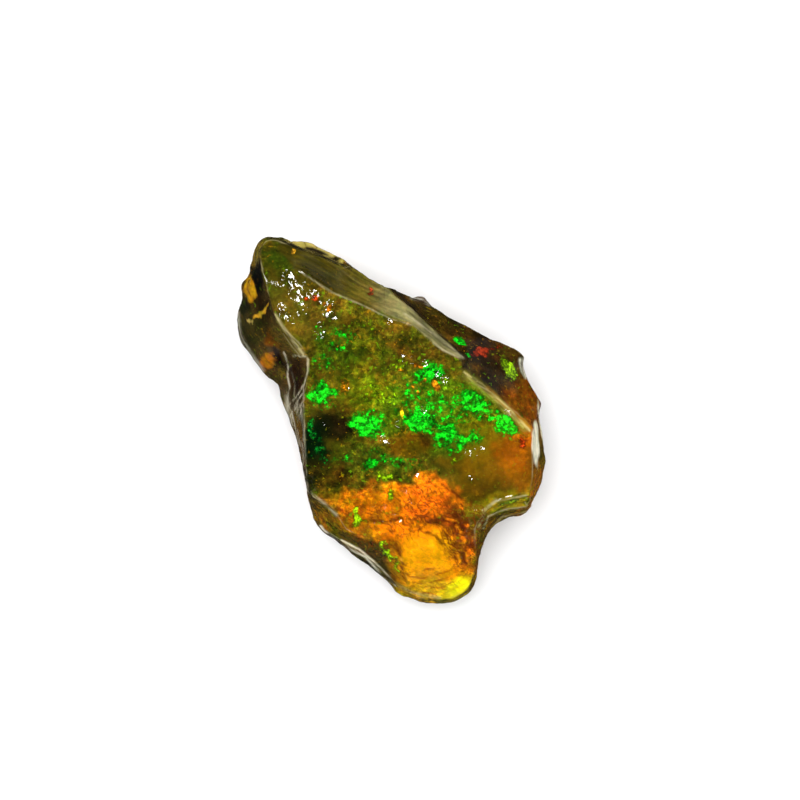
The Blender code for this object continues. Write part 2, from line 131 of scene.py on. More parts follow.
def region(points, corners, edge=0.12):
    """1 inside a polygon of the map and 0 outside, fading over edge on either side."""
    x, y = points[:, 0], points[:, 1]
    sides = list(zip(corners, corners[1:] + corners[:1]))
    inside = np.zeros(len(points), bool)
    for (x0, y0), (x1, y1) in sides:
        inside ^= ((y0 > y) != (y1 > y)) & (x < (x1 - x0) * (y - y0) / (y1 - y0 + TINY) + x0)
    far = np.min([off_stretch(points, *side) for side in sides], axis=0)
    return rise(np.where(inside, far, -far), -edge, edge)


def line_near(points, line, width):
    """1 on a line of the map, falling to 0 at its width to either side."""
    far = np.min([off_stretch(points, *ends) for ends in zip(line, line[1:])], axis=0)
    return 1 - rise(far, 0, width)


# The stone's mesh: the CAD solid's triangles, split in four twice and smoothed between the ridges

def coarse_mesh(obj):
    """The CAD node's points in mm, merged where they coincide, and its triangles."""
    mesh = obj.data
    mesh.calc_loop_triangles()
    points = np.empty(len(mesh.vertices) * 3, np.float32)
    mesh.vertices.foreach_get("co", points)
    points = points.reshape(-1, 3).astype(float) / MM
    faces = np.empty(len(mesh.loop_triangles) * 3, np.int32)
    mesh.loop_triangles.foreach_get("vertices", faces)
    _, first, index = np.unique(
        np.round(points / MERGE_WITHIN).astype(np.int64), axis=0, return_index=True, return_inverse=True
    )
    faces = index.reshape(-1)[faces].reshape(-1, 3)
    whole = (faces != np.roll(faces, 1, axis=1)).all(axis=1)
    return points[first], faces[whole]


def edges_of(faces):
    """Each edge once, and for each triangle the numbers of its three edges."""
    pairs = np.concatenate([faces[:, [0, 1]], faces[:, [1, 2]], faces[:, [2, 0]]])
    edges, index = np.unique(np.sort(pairs, axis=1), axis=0, return_inverse=True)
    return edges, index.reshape(3, -1).T


def unit(vectors):
    return vectors / (np.linalg.norm(vectors, axis=1, keepdims=True) + TINY)


def face_normals(points, faces):
    a, b, c = (points[faces[:, i]] for i in range(3))
    return np.cross(b - a, c - a)


def ridge_edges(points, faces):
    """For each edge, whether its two faces meet at more than the ridge angle, and whether it stands out."""
    edges, sides = edges_of(faces)
    normals = unit(face_normals(points, faces))
    centres = points[faces].mean(axis=1)
    both_normals = np.zeros((len(edges), 3))
    both_centres = np.zeros((len(edges), 3))
    reach = np.zeros(len(edges))
    for i in range(3):
        np.add.at(both_normals, sides[:, i], normals)
        np.add.at(both_centres, sides[:, i], centres)
        np.add.at(reach, sides[:, i], (normals * centres).sum(axis=1))
    half_angle = np.arccos(np.clip(np.linalg.norm(both_normals, axis=1) / 2, -1, 1))
    ridge = half_angle * 2 > RIDGE_ANGLE
    return ridge, ridge & (2 * reach > (both_normals * both_centres).sum(axis=1))


def split_smooth(points, faces, kept, marked):
    """One round of Loop subdivision, where kept edges stay ridges and marked ones are followed."""
    edges, sides = edges_of(faces)
    a, b = edges.T
    across = np.zeros((len(edges), 3))
    for i in range(3):
        np.add.at(across, sides[:, i], points[faces[:, (i + 2) % 3]])
    middles = (points[a] + points[b]) * 3 / 8 + across / 8
    middles[kept] = (points[a] + points[b])[kept] / 2

    around = np.zeros_like(points)
    np.add.at(around, a, points[b])
    np.add.at(around, b, points[a])
    valence = np.bincount(edges.ravel(), minlength=len(points))[:, None]
    share = np.where(valence > 3, 3 / (8 * valence), 3 / 16)
    moved = points * (1 - valence * share) + around * share

    ridge_count = np.bincount(edges[kept].ravel(), minlength=len(points))
    along = np.zeros_like(points)
    np.add.at(along, a[kept], points[b[kept]])
    np.add.at(along, b[kept], points[a[kept]])
    moved[ridge_count == 2] = (points * 3 / 4 + along / 8)[ridge_count == 2]
    moved[ridge_count > 2] = points[ridge_count > 2]

    ab, bc, ca = (sides[:, i] + len(points) for i in range(3))
    first, second, third = faces.T
    quarters = [(first, ab, ca), (ab, second, bc), (ca, bc, third), (ab, bc, ca)]
    finer = np.concatenate([np.stack(quarter, axis=1) for quarter in quarters])
    halves = np.arange(len(edges))[marked] + len(points)
    lines = np.concatenate([np.stack([ends[marked], halves], axis=1) for ends in (a, b)])
    finer_edges, _ = edges_of(finer)
    total = len(points) + len(edges)
    finer_marked = np.isin(finer_edges @ (total, 1), np.sort(lines, axis=1) @ (total, 1))
    return np.concatenate([moved, middles]), finer, finer_marked


def point_normals(points, faces):
    slants = face_normals(points, faces)
    normals = np.zeros_like(points)
    for i in range(3):
        np.add.at(normals, faces[:, i], slants)
    return unit(normals)


def write_mesh(name, points, faces):
    mesh = bpy.data.meshes.new(name)
    mesh.from_pydata(points * MM, [], faces)
    mesh.validate()
    mesh.shade_smooth()
    return mesh


# Outlines of the broad parts of the stone

FRONT_FACE = [
    (-11.3, 15.4), (-11.1, 12.2), (-9.8, 8.9), (-7.4, 6), (-7.2, 5.2), (-7.8, 1.4), (-7.5, -4.8),
    (-6.8, -6.8), (-4.6, -8.6), (-3.6, -10), (0.2, -10.9), (1.2, -13), (1.6, -15), (4.4, -16), (6.8, -15),
    (7.6, -12.6), (7.5, -9.6), (9.4, -7.2), (12.4, -6.5), (12.6, -0.6), (9.8, 1.9), (6.3, 4.8),
    (2.4, 8.2), (0.2, 8.9), (-5.5, 11.5), (-8.4, 13.4), (-9.6, 15),
]
PALE_BEVEL = [
    (-8.4, 13.5), (-5.5, 11.7), (-2.8, 10.6), (-0.1, 9.4), (1.7, 8.8), (3.7, 7.1), (4.5, 6.4), (6, 5.7),
    (6.7, 5.4), (6.9, 5.8), (5.7, 6.6), (4.7, 7.4), (3.5, 8.5), (1.9, 10), (0.5, 11.1), (-0.6, 12.3),
    (-3, 13.6), (-6.4, 15), (-9.4, 16.2), (-10.2, 15.6),
]
UPPER_RIGHT = [
    (-0.6, 12.4), (0.5, 11.1), (1.9, 10), (3.5, 8.5), (6.2, 6), (6.3, 4.9), (8.9, 2.6), (12.7, -0.6),
    (13.4, 0.5), (13.6, 2), (12.5, 3.3), (12.2, 6.2), (6.7, 8.8), (1.4, 11.6),
]
LEFT_FLANK = [
    (-11.6, 16), (-11.6, 13.5), (-10.4, 9.8), (-9, 7.6), (-7.5, 5.8), (-7.4, 4.6), (-7.9, 1.6),
    (-9.8, 0.8), (-10.6, 3.4), (-14.4, 6.4), (-14.4, 10), (-12.6, 16.4),
]
LEDGE = [
    (-9.6, 16.3), (-9, 16), (-6.4, 15), (-4.4, 14.1), (-4.2, 14.8), (-7, 16.7), (-9.2, 16.8),
]
LEDGE_EDGE = 0.1
BEVEL_RUN = (0.875, -0.484)

# Spots where small tilted facets catch the light: (x, y, radius)
GLINTS = [
    (-9.3, 13.2, 0.34), (-9, 12.7, 0.34), (-8.6, 12.3, 0.36), (-9.7, 12.3, 0.32), (-8.4, 11.7, 0.5),
    (-8.7, 11.3, 0.42), (-8.2, 11, 0.4), (-7.1, 11.3, 0.38), (-6.7, 11.4, 0.32), (-7.9, 10.3, 0.34),
    (-7.6, 9.9, 0.34), (-9.7, 10.2, 0.36), (-9.7, 9.5, 0.26), (-9.2, 9.3, 0.34), (-8.8, 9, 0.28),
    (-6, 10.6, 0.32), (-5.4, 10.6, 0.3), (-5.8, 9.6, 0.34), (-5.3, 9.5, 0.36), (-5, 9.3, 0.26),
    (-6.3, 8.7, 0.26), (-6.4, 7.9, 0.28), (-6.1, 7.8, 0.26), (-6.4, 7.4, 0.22), (-8.3, 9.6, 0.22),
    (1.1, 5.7, 0.3), (1.9, 5.5, 0.3), (3, 5.2, 0.38), (4.3, 4.2, 0.38), (4.8, 3.7, 0.32),
    (-0.1, 8.9, 0.28), (2.9, 1, 0.34), (0.6, -0.2, 0.32), (-0.6, -1.6, 0.42), (-0.1, -1.9, 0.28),
    (6.9, -2.8, 0.34), (7.6, -2.7, 0.34), (8.2, -2.5, 0.28), (2.2, -4.7, 0.34), (7.1, -5, 0.24),
    (10.4, 0.8, 0.34), (3.1, -7.3, 0.22), (-0.6, -7.6, 0.22), (-3.8, 3, 0.16), (-6, -0.2, 0.16),
]


def glinting(points):
    return np.max([disc(points, (x, y), (radius, radius), 0, 0.25) for x, y, radius in GLINTS], axis=0)


# Where the break is wrinkled into slanting grooves: (spot, radii, turn, strength)
WRINKLED = [
    ((6.2, -10.6), (1.7, 3.4), 22, 1), ((4.4, -8.9), (3.2, 0.8), -12, 0.9),
    ((2.6, -7), (2.8, 1.6), 8, 0.8), ((0.2, -9), (3.6, 1.6), -14, 0.75),
    ((-2.6, -10.2), (2.8, 1.2), -35, 0.6), ((0.4, -12.2), (1, 3), 22, 0.6),
    ((3, -15.2), (3.4, 0.8), 8, 0.5), ((3, -12.4), (2.2, 2.2), 0, 0.22),
    ((7.6, -8.6), (1.4, 1.4), 0, 0.8),
]
GROOVE_RUN = (0.74, -0.67)


def wrinkled(points):
    """How strongly the break is wrinkled: most around the lobe."""
    return np.max([share * disc(points, *ellipse, 0.45) for *ellipse, share in WRINKLED], axis=0)


# Folds where the orange break buckles, sunk and darkened with painted shade: (line, width)
CREASES = [
    ([(1.8, -8.8), (3.4, -9.1), (5, -8.8), (6.4, -8.2)], 0.42),
    ([(4.2, -9.2), (5.2, -10.2), (6, -11.4), (6.8, -12.8)], 0.5),
    ([(5.6, -9), (6.8, -10), (7.3, -11.4)], 0.46), ([(2.6, -9.6), (4, -10.3), (5, -11.4)], 0.26),
    ([(-4.8, -7.8), (-2.8, -8.8), (-0.4, -9), (1, -8.6)], 0.34),
    ([(0, -10.6), (0.9, -12), (1.1, -13.8)], 0.42), ([(4.6, -5.6), (6, -6.6), (6.4, -7.8)], 0.34),
]
CREASE_RUN = (0.62, -0.78)
CREASE_SHADE = (0.095, 0.018, 0.001)


def creased(points):
    """1 along the dark folds, broken up lengthwise."""
    found = np.max([line_near(points, line, width) for line, width in CREASES], axis=0)
    near = found > 0
    found[near] *= rise(streaky(points[near], CREASE_RUN, 1.0, 0.26, 37), -0.55, 0.2)
    return found


# Fine rings in the break round the foot of the lobe, grooved and darkened along them with painted shade
RING_CENTRE = (3.2, -11.2)
RING_FLATNESS = 1.15
RING_STEP = 0.62
RING_SHADE = (0.52, 0.36, 0.3)


def ringed(points):
    """1 along the rings, which waver and break off."""
    foot = disc(points, (3.0, -14.5), (3.4, 1.7), 8, 0.4)
    far = np.hypot(points[:, 0] - RING_CENTRE[0], (points[:, 1] - RING_CENTRE[1]) * RING_FLATNESS)
    waves = np.sin(far * math.tau / RING_STEP + 5.0 * at_noise(points, 1.5, 41))
    return foot * rise(waves, 0.35, 0.95) * rise(at_noise(points, 0.8, 42), -0.35, 0.15)


# The relief: how high each kind stands or how deep it goes

LUMP_HEIGHT = 0.02
FINE_LUMP_HEIGHT = 0.012
FACE_GRAIN = 0.01
GLINT_GRAIN = 0.012
STREAK_HEIGHT = 0.03
GROOVE_DEPTH = 0.1
FOLD_DEPTH = 0.12
RING_DEPTH = 0.03
SCOOP_CENTRE = (12.1, -11.6)
SCOOP_RING_STEP = 0.55
SCOOP_RING_HEIGHT = 0.05
CHIP_HEIGHT = 0.055


def face_relief(points, up):
    """Slight lumps all over, a grain on the front face and streaks along the bevel."""
    height = LUMP_HEIGHT * at_noise(points, 1.6, 1) + FINE_LUMP_HEIGHT * at_noise(points, 0.8, 2)
    face = region(points, FRONT_FACE, 0.3) * up
    height += face * (FACE_GRAIN + GLINT_GRAIN * glinting(points)) * at_noise(points, 0.55, 3)
    bevel = region(points, PALE_BEVEL, 0.2) * up
    return height + bevel * STREAK_HEIGHT * streaky(points, BEVEL_RUN, 2.6, 0.36, 5)


def lobe_depth(points, up):
    """How deep the grooves, folds and rings of the lobe go."""
    lobe = disc(points, (2.4, -11.2), (5.6, 4.6), -50, 0.35) * up
    grooves = rise(ridged(stretched(points, GROOVE_RUN, 1.5, 0.5), 1.0, 6), 0.45, 0.98)
    depth = np.maximum(wrinkled(points), 0.35 * lobe) * GROOVE_DEPTH * grooves
    return depth + FOLD_DEPTH * creased(points) * up + RING_DEPTH * ringed(points) * up


def scoop_relief(points, normals):
    """Rings in the scoop at the lower right."""
    reach = np.hypot(points[:, 0] - SCOOP_CENTRE[0], points[:, 1] - SCOOP_CENTRE[1])
    scoop = rise(reach, 2.6, 3.2) * (1 - rise(reach, 5.0, 5.8)) * facing_up(normals, -0.1, 0.2)
    rings = np.sin(reach * math.tau / SCOOP_RING_STEP + 1.5 * at_noise(points, 1.8, 7))
    return SCOOP_RING_HEIGHT * scoop * rings


def wall_relief(points, up):
    """Chips on the walls and the underside."""
    chips = ridged(points, 1.5, 8) + 0.5 * ridged(points, 0.7, 9)
    return CHIP_HEIGHT * (1 - up) * (chips - 0.8)


def stone_relief(points, normals):
    """How far each point stands out along its normal: not at all on the base."""
    up = facing_up(normals, 0.2, 0.6)
    height = face_relief(points, up) - lobe_depth(points, up)
    height += scoop_relief(points, normals) + wall_relief(points, up)
    return height * rise(points[:, 2], 0.03, 0.8)


# Colours of the body, all as linear red, green and blue

TINT_LEVEL = 0.74
BODY = (0.11, 0.08, 0.003)
WALL_AMBER = (0.3, 0.11, 0.004)
WALL_DARK = (0.028, 0.016, 0.003)
FLANK_BROWN = (0.06, 0.036, 0.008)
# Dark, middle and pale along the bevel; the pale at its right end is painted sheen, a broad soft reflection
# of the bright room
BEVEL_COLOURS_AND_SHEEN = [
    (0.058, 0.046, 0.002), (0.15, 0.114, 0.012), (0.285, 0.25, 0.085),
]
RIGHT_BROWN = (0.025, 0.011, 0.001)
RIGHT_BROWN_RISE = (0.024, 0.016, 0.001)
RIGHT_ORANGE = (0.24, 0.062, 0.002)
LEDGE_GOLD = (0.64, 0.5, 0.1)

# Zones of the upper side: spot, radii, turn, edge, strength, colour; wide ones stray further
WIDE_ZONE = 1.3
BODY_TINTS = {
    "olive top left": ((-9.6, 13.6), (2.4, 3.4), 0, 0.6, 0.9, (0.05, 0.048, 0.002)),
    "green top": ((-9.8, 14.3), (1.7, 0.7), -20, 0.6, 0.45, (0.026, 0.066, 0.001)),
    "brown at glints": ((-7.6, 9.6), (3.2, 2.4), -30, 0.6, 0.8, (0.115, 0.076, 0.005)),
    "green middle": ((-3.2, 6.2), (3.2, 2.6), -25, 0.7, 0.9, (0.062, 0.058, 0.001)),
    "brown upper": ((1.6, 6.6), (3.2, 1.2), -28, 0.6, 0.8, (0.07, 0.044, 0.002)),
    "cloud": ((-1.2, 2.2), (3.4, 1.8), -20, 0.7, 0.8, (0.16, 0.17, 0.002)),
    "green right": ((5.6, 0.8), (4.6, 2.6), -25, 0.6, 0.8, (0.075, 0.17, 0.002)),
    "shade below": ((-1.6, -3.4), (3.6, 1.2), -8, 0.6, 0.6, (0.02, 0.075, 0.002)),
    "shade right": ((5, -1.4), (3.4, 1.8), -10, 0.6, 0.55, (0.03, 0.12, 0.002)),
    "shade left": ((-4.8, 6.2), (2, 1.3), -20, 0.6, 0.6, (0.026, 0.07, 0.001)),
    "shade middle": ((0.2, 0.8), (2, 1.4), 0, 0.6, 0.5, (0.06, 0.15, 0.002)),
    "dark heart": ((-5, -0.5), (2, 1.3), -12, 0.5, 0.95, (0.006, 0.004, 0.001)),
    "dark waist": ((-6.8, -2.4), (1.25, 3.4), 0, 0.5, 1, (0.001, 0.009, 0.001)),
    "dark waist foot": ((-7.2, -5), (0.8, 1.3), 0, 0.5, 0.9, (0.01, 0.015, 0.001)),
    "waist foot": ((-5.2, -5.2), (2.4, 1.5), -20, 0.6, 0.9, (0.04, 0.024, 0.001)),
    "brown patch": ((1.7, -2.1), (2.1, 1.25), 0, 0.3, 0.95, (0.122, 0.064, 0.001)),
    "brown patch corner": ((3.1, -1.4), (0.6, 0.6), 0, 0.5, 0.9, (0.06, 0.028, 0.001)),
    "ochre right": ((7.6, -1.2), (1.6, 2), 0, 0.6, 0.8, (0.24, 0.18, 0.002)),
    "dark middle": ((3.4, -3.8), (2.4, 1), 10, 0.6, 0.8, (0.06, 0.058, 0.002)),
    "orange right": ((11.2, -2.6), (1.9, 3), 0, 0.6, 0.95, (0.39, 0.095, 0.001)),
    "ochre lower right": ((8, -4.2), (2.6, 1.5), 0, 0.6, 0.85, (0.2, 0.095, 0.001)),
    "olive lower right": ((7.6, -6.6), (2.2, 1.2), 10, 0.6, 0.85, (0.086, 0.044, 0.001)),
    "ochre lower left": ((-4, -7.9), (2.2, 1.2), -25, 0.6, 0.8, (0.26, 0.11, 0.002)),
    "orange field": ((0.9, -8.6), (4.2, 2.8), -12, 0.4, 1, (0.82, 0.215, 0.001)),
    "orange bulge": ((3.2, -6.9), (2.6, 1.6), 5, 0.4, 1, (1.4, 0.26, 0.003)),
    "orange left": ((-2.2, -7.6), (2.2, 1.2), -10, 0.6, 0.9, (0.6, 0.15, 0.001)),
    # From here to the yellow tip: the lobe's orange, brightened with painted glow of light shining through
    # the thin lobe
    "yellow lobe": ((3.6, -12.4), (3.6, 3.2), -30, 0.4, 1, (1.15, 0.4, 0.002)),
    "orange neck": ((2.2, -9.8), (2.4, 1.4), -30, 0.6, 0.9, (1.15, 0.27, 0.002)),
    "lobe glow": ((3, -12), (2.2, 1.9), 0, 0.6, 0.95, (1.4, 0.56, 0.002)),
    "lobe foot": ((3.2, -15.2), (3.2, 0.9), 10, 0.6, 0.85, (1, 0.6, 0.008)),
    "yellow tip": ((6.1, -15), (1.4, 0.8), 35, 0.5, 1, (1.4, 1.22, 0.006)),
    "red crease": ((6, -9.4), (0.9, 2.4), 30, 0.6, 0.95, (0.25, 0.034, 0.002)),
    "red crease head": ((4.2, -8.9), (2, 0.5), -20, 0.6, 0.85, (0.26, 0.055, 0.002)),
    "red crease foot": ((6.6, -12), (0.8, 1.9), 18, 0.6, 0.85, (0.44, 0.11, 0.002)),
    "dark facet": ((-1.8, -11.5), (1.8, 0.8), -40, 0.5, 0.95, (0.06, 0.04, 0.004)),
    "corner facet": ((-6.5, -8.5), (0.9, 1.3), 20, 0.5, 0.95, (0.2, 0.09, 0.004)),
    "scoop olive": ((10, -7.4), (2.8, 0.8), 12, 0.6, 0.9, (0.34, 0.25, 0.004)),
    "scoop shade": ((8, -9.4), (0.9, 1.6), 0, 0.6, 0.8, (0.08, 0.04, 0.004)),
}

# Zones of the left flank: spot, radii, turn, edge, strength, colour
FLANK_TINTS = {
    "black": ((-12, 12.8), (0.9, 2.1), -8, 0.4, 1, (0.001, 0.001, 0.001)),
    "dark side": ((-11.1, 9.2), (0.8, 2.8), 24, 0.5, 0.9, (0.014, 0.006, 0.001)),
    "window": ((-12.7, 12), (0.55, 1.1), 14, 0.3, 1, (0.98, 0.46, 0.012)),
    "top": ((-12, 15.4), (0.7, 1.2), -10, 0.5, 0.8, (0.23, 0.15, 0.02)),
    "olive": ((-12.6, 8.2), (1.3, 1.7), -15, 0.5, 0.9, (0.03, 0.026, 0.004)),
    "green": ((-13.3, 10.2), (0.5, 0.7), 0, 0.5, 0.9, (0.006, 0.01, 0.002)),
    "amber": ((-11.7, 9.7), (0.75, 0.26), 36, 0.4, 1, (0.64, 0.34, 0.02)),
    "dot": ((-12.6, 8.9), (0.16, 0.2), 0, 0.4, 0.9, (0.44, 0.34, 0.08)),
    "glow": ((-10.6, 7.4), (0.7, 0.5), -30, 0.6, 0.8, (0.19, 0.06, 0.002)),
    "orange": ((-11.2, 5.4), (0.55, 0.75), -30, 0.5, 0.95, (0.4, 0.13, 0.004)),
    "ochre": ((-9.9, 4.6), (0.35, 0.8), -15, 0.5, 0.8, (0.15, 0.1, 0.01)),
    "brown": ((-9.4, 7.6), (1, 1.6), 40, 0.6, 0.8, (0.1, 0.07, 0.01)),
    "dark fold": ((-10.1, 5.6), (0.5, 1.2), 30, 0.5, 0.97, (0.006, 0.002, 0.001)),
    "dark foot": ((-8.5, 4.1), (0.75, 1.6), 5, 0.6, 0.9, (0.022, 0.007, 0.002)),
    "pale sliver": ((-9, 0.2), (0.35, 2.2), 15, 0.6, 0.8, (0.3, 0.26, 0.15)),
}

# Zones of the steep walls, as seen from above: (spot, radii, turn, colour)
WALL_TINTS = [
    ((13.3, -6.2), (1.2, 2.6), 10, (0.7, 0.22, 0.004)), ((12.4, -8.6), (1.6, 1), 0, (0.42, 0.15, 0.003)),
    ((9.2, -10.6), (1.2, 1.6), -20, (0.26, 0.12, 0.004)), ((8, -13), (0.8, 2.2), 0, (0.24, 0.1, 0.003)),
    ((3.6, -16.4), (4, 0.9), 4, (0.42, 0.3, 0.04)), ((13.2, 2), (1.2, 2), 0, (0.2, 0.06, 0.003)),
    ((12.2, 5.6), (1, 1.2), 0, (0.04, 0.02, 0.003)), ((-6.8, -9), (1.2, 1.4), 0, (0.16, 0.08, 0.01)),
    ((-13.8, 8.6), (1, 3), 0, (0.06, 0.045, 0.01)), ((4, 10.2), (4, 1.2), -30, (0.05, 0.03, 0.004)),
]

# Flames of orange between the dark folds: (line, width, colour)
FLAMES = [
    ([(5.9, -9.4), (6.7, -10.8), (7.4, -12)], 0.24, (1.1, 0.28, 0.004)),
    ([(5, -8.7), (6, -8.9), (6.9, -9.3)], 0.2, (1.1, 0.26, 0.004)),
    ([(6.2, -10.2), (6.7, -11.6), (7, -12.9)], 0.2, (1.2, 0.34, 0.004)),
    ([(5.1, -9.9), (5.8, -11.1), (6.2, -12.6)], 0.2, (1.2, 0.38, 0.004)),
    ([(4.4, -7.9), (5.4, -8.2), (6.2, -8.3)], 0.2, (1.1, 0.24, 0.004)),
    ([(5.6, -7), (6.4, -7.8)], 0.18, (1, 0.22, 0.004)),
]

# Strips paler or darker than the ground: the pale ones partly chipped breaks and partly painted reflections
# on steep edges, the dark ones partly painted shadow: (line, width, strength, colour)
STRIPS = [
    ([(-10.3, 9.5), (-9.5, 8.3), (-8.7, 7.2), (-7.8, 6)], 0.26, 1, (0.5, 0.42, 0.17)),
    ([(-9.6, 7.9), (-8.9, 6.8), (-8.2, 6)], 0.16, 0.9, (0.24, 0.19, 0.06)),
    ([(-8.7, 5.9), (-7.6, 5.8)], 0.16, 0.9, (0.45, 0.4, 0.24)),
    ([(-8.9, 4.4), (-8.6, 3.4), (-8.7, 2.2)], 0.12, 0.7, (0.34, 0.3, 0.19)),
    ([(-9.6, 5.2), (-8.9, 4.4), (-8.4, 3.2), (-8.2, 1.8)], 0.26, 0.9, (0.016, 0.008, 0.003)),
    ([(-9.3, 2.2), (-9.4, 0.8), (-9, -0.6), (-8.2, -2.2)], 0.4, 0.95, (0.46, 0.42, 0.3)),
    ([(-8.8, 1.9), (-8.8, 0.6), (-8.4, -0.8), (-8, -2.4)], 0.22, 0.9, (0.1, 0.07, 0.03)),
    ([(-8.4, 1.8), (-8.4, 0.4), (-8.1, -1.2)], 0.2, 0.9, (0.42, 0.37, 0.24)),
    ([(-8, 1.4), (-7.9, -1), (-7.8, -4), (-7.6, -6.4)], 0.34, 0.9, (0.46, 0.43, 0.32)),
    ([(-7.6, -6.2), (-6.6, -6.9), (-5.6, -7.6), (-4.9, -8.4)], 0.26, 0.9, (0.4, 0.36, 0.22)),
    ([(-4.4, -10.2), (-2.8, -11.2), (-1.2, -12.6), (-0.2, -13.8)], 0.5, 0.8, (0.03, 0.02, 0.004)),
    ([(-6.4, -9.5), (-5.6, -10.3), (-4.4, -11), (-3.4, -11.7), (-2.3, -12.2), (-1.4, -13.3), (-0.2, -14.8)],
     0.22, 1, (1.05, 0.98, 0.76)),
    ([(-4.5, -10.7), (-2.9, -11.5), (-1.7, -12.5), (-0.6, -13.6), (0.4, -14.9)],
     0.16, 1, (0.95, 0.86, 0.6)),
    ([(-13.9, 9.8), (-13.7, 7.8), (-12.8, 6.2), (-11.6, 4.6)], 0.34, 0.8, (0.46, 0.43, 0.32)),
    ([(-11.2, 4), (-10.2, 2.6), (-9.9, 1)], 0.26, 0.8, (0.42, 0.39, 0.28)),
    ([(-8.1, 13.4), (-6.6, 12.4), (-5.2, 11.5), (-2.8, 10.5), (-0.1, 9.2), (1.8, 8.6)],
     0.12, 0.7, (0.36, 0.32, 0.16)),
    ([(1.2, 9.6), (2.9, 8.5), (4.5, 7.3), (6.4, 5.7)], 0.18, 0.9, (0.62, 0.56, 0.3)),
    ([(1.4, 10), (3.2, 8.3), (4.7, 6.9), (5.8, 6.2)], 0.14, 0.85, (0.08, 0.062, 0.018)),
    ([(-0.1, 12.2), (1.5, 10.6), (3.1, 9.1), (4.8, 7.4), (6.2, 6.1)], 0.22, 0.9, (0.014, 0.008, 0.002)),
    ([(3.8, 7), (4.6, 6.4), (6.1, 5.7)], 0.15, 0.9, (0.56, 0.5, 0.26)),
    ([(6.8, 5.3), (6.5, 4.8)], 0.42, 0.95, (0.012, 0.01, 0.002)),
    ([(0.4, -14.7), (1.8, -15.5), (4.4, -16)], 0.3, 0.6, (0.52, 0.44, 0.16)),
    ([(11.7, 5.5), (11.9, 4.6), (12.2, 4.1)], 0.36, 1, (1, 0.96, 0.74)),
    ([(13.6, 1.8), (13.2, 0.6)], 0.26, 0.8, (0.44, 0.38, 0.24)),
    ([(9.4, -7), (8.4, -8), (7.9, -9.4)], 0.3, 0.7, (0.34, 0.27, 0.09)),
    ([(8.2, -7.9), (9.4, -7.1), (12.1, -6.6)], 0.16, 0.8, (0.46, 0.42, 0.2)),
    ([(8.3, -9.6), (8.8, -8.5), (10.2, -7.9), (12.1, -7.7)], 0.17, 0.85, (0.54, 0.48, 0.24)),
    ([(8.7, -9.9), (9.6, -8.6), (11.2, -8.1)], 0.15, 0.8, (0.06, 0.03, 0.004)),
    ([(9, -9.8), (10, -8.6), (11.7, -8.3), (12.3, -8.1)], 0.15, 0.85, (0.44, 0.34, 0.14)),
    ([(6.7, 4.1), (8.2, 3), (9.6, 1.9), (12, -0.5)], 0.72, 0.85, (0.2, 0.18, 0.012)),
    ([(8.6, 2.9), (10.6, 1), (12.4, -0.6)], 0.42, 0.8, (0.48, 0.2, 0.006)),
    ([(6.5, 4.4), (8, 3.4), (9.4, 2.2), (10.8, 0.9), (12.4, -0.8)], 0.17, 0.95, (0.62, 0.52, 0.16)),
    ([(7.2, 3.9), (9.2, 2.1), (11.6, -0.2)], 0.12, 0.85, (0.05, 0.04, 0.004)),
    ([(6.8, 4), (8.4, 2.7), (9.8, 1.5), (11.8, -0.5)], 0.15, 0.9, (0.46, 0.42, 0.07)),
    ([(7.2, 3.5), (8.6, 2.3), (10.2, 0.8)], 0.15, 0.9, (0.24, 0.36, 0.012)),
    # painted shadow along the foot of the ledge, at the bevel's upper edge
    ([(-10.6, 16.4), (-7, 15.2), (-3.6, 13.8)], 0.26, 0.95, (0.01, 0.007, 0.002)),
    # painted shadow in the pocket under the ledge's pale edge
    ([(-7.6, 15.6), (-6.6, 15.4), (-5.8, 15.1)], 0.34, 0.95, (0.02, 0.012, 0.002)),
    ([(1.9, 11.2), (2.8, 11), (3.5, 10.6)], 0.36, 0.95, (0.46, 0.44, 0.36)),
    ([(-9.9, 8.9), (-9.1, 7.7), (-8.3, 6.6)], 0.12, 0.95, (0.05, 0.035, 0.01)),
    ([(-9.6, 6.2), (-9.2, 5.2), (-9.3, 4.1), (-9.1, 3.1), (-9.4, 1.8), (-8.8, 0.3), (-8.5, -1.5)],
     0.13, 0.9, (0.62, 0.57, 0.42)),
    ([(-8.3, 1.6), (-8.8, 0.8), (-9.1, -0.5), (-8.5, -1.8), (-8.1, -3.1)], 0.12, 0.9, (0.62, 0.57, 0.42)),
    ([(-7.4, 5.6), (-7.4, 4.5), (-7.8, 3.1), (-7.8, 1.9), (-8.5, 0.8)], 0.12, 0.9, (0.58, 0.5, 0.34)),
    ([(-12.75, 12.7), (-12.9, 11.9), (-12.6, 11.3)], 0.14, 0.8, (0.16, 0.06, 0.003)),
    ([(-7.8, 3.3), (-8.4, 2.3), (-9.3, 1.4)], 0.11, 0.9, (0.6, 0.54, 0.38)),
    ([(-7.9, 2.5), (-8.6, 1.5), (-9.1, 0.5), (-8.8, -0.8)], 0.11, 0.9, (0.6, 0.54, 0.38)),
    ([(-7.8, 1.6), (-8.2, 0.5), (-8.4, -0.8), (-8.1, -2.6)], 0.11, 0.9, (0.6, 0.54, 0.38)),
]
STRIP_PATCH_SHIFT = (0, 0, 50)

# Painted reflections on small facets of the right rim, shaped like blades: (spot, radii, turn, colour)
RIM_BLADE_REFLECTIONS = [
    ((12.96, -2.1), (0.34, 1.8), 1, (1.1, 1.06, 0.8)), ((13.62, -0.7), (0.2, 2.3), 10, (1, 0.95, 0.7)),
]

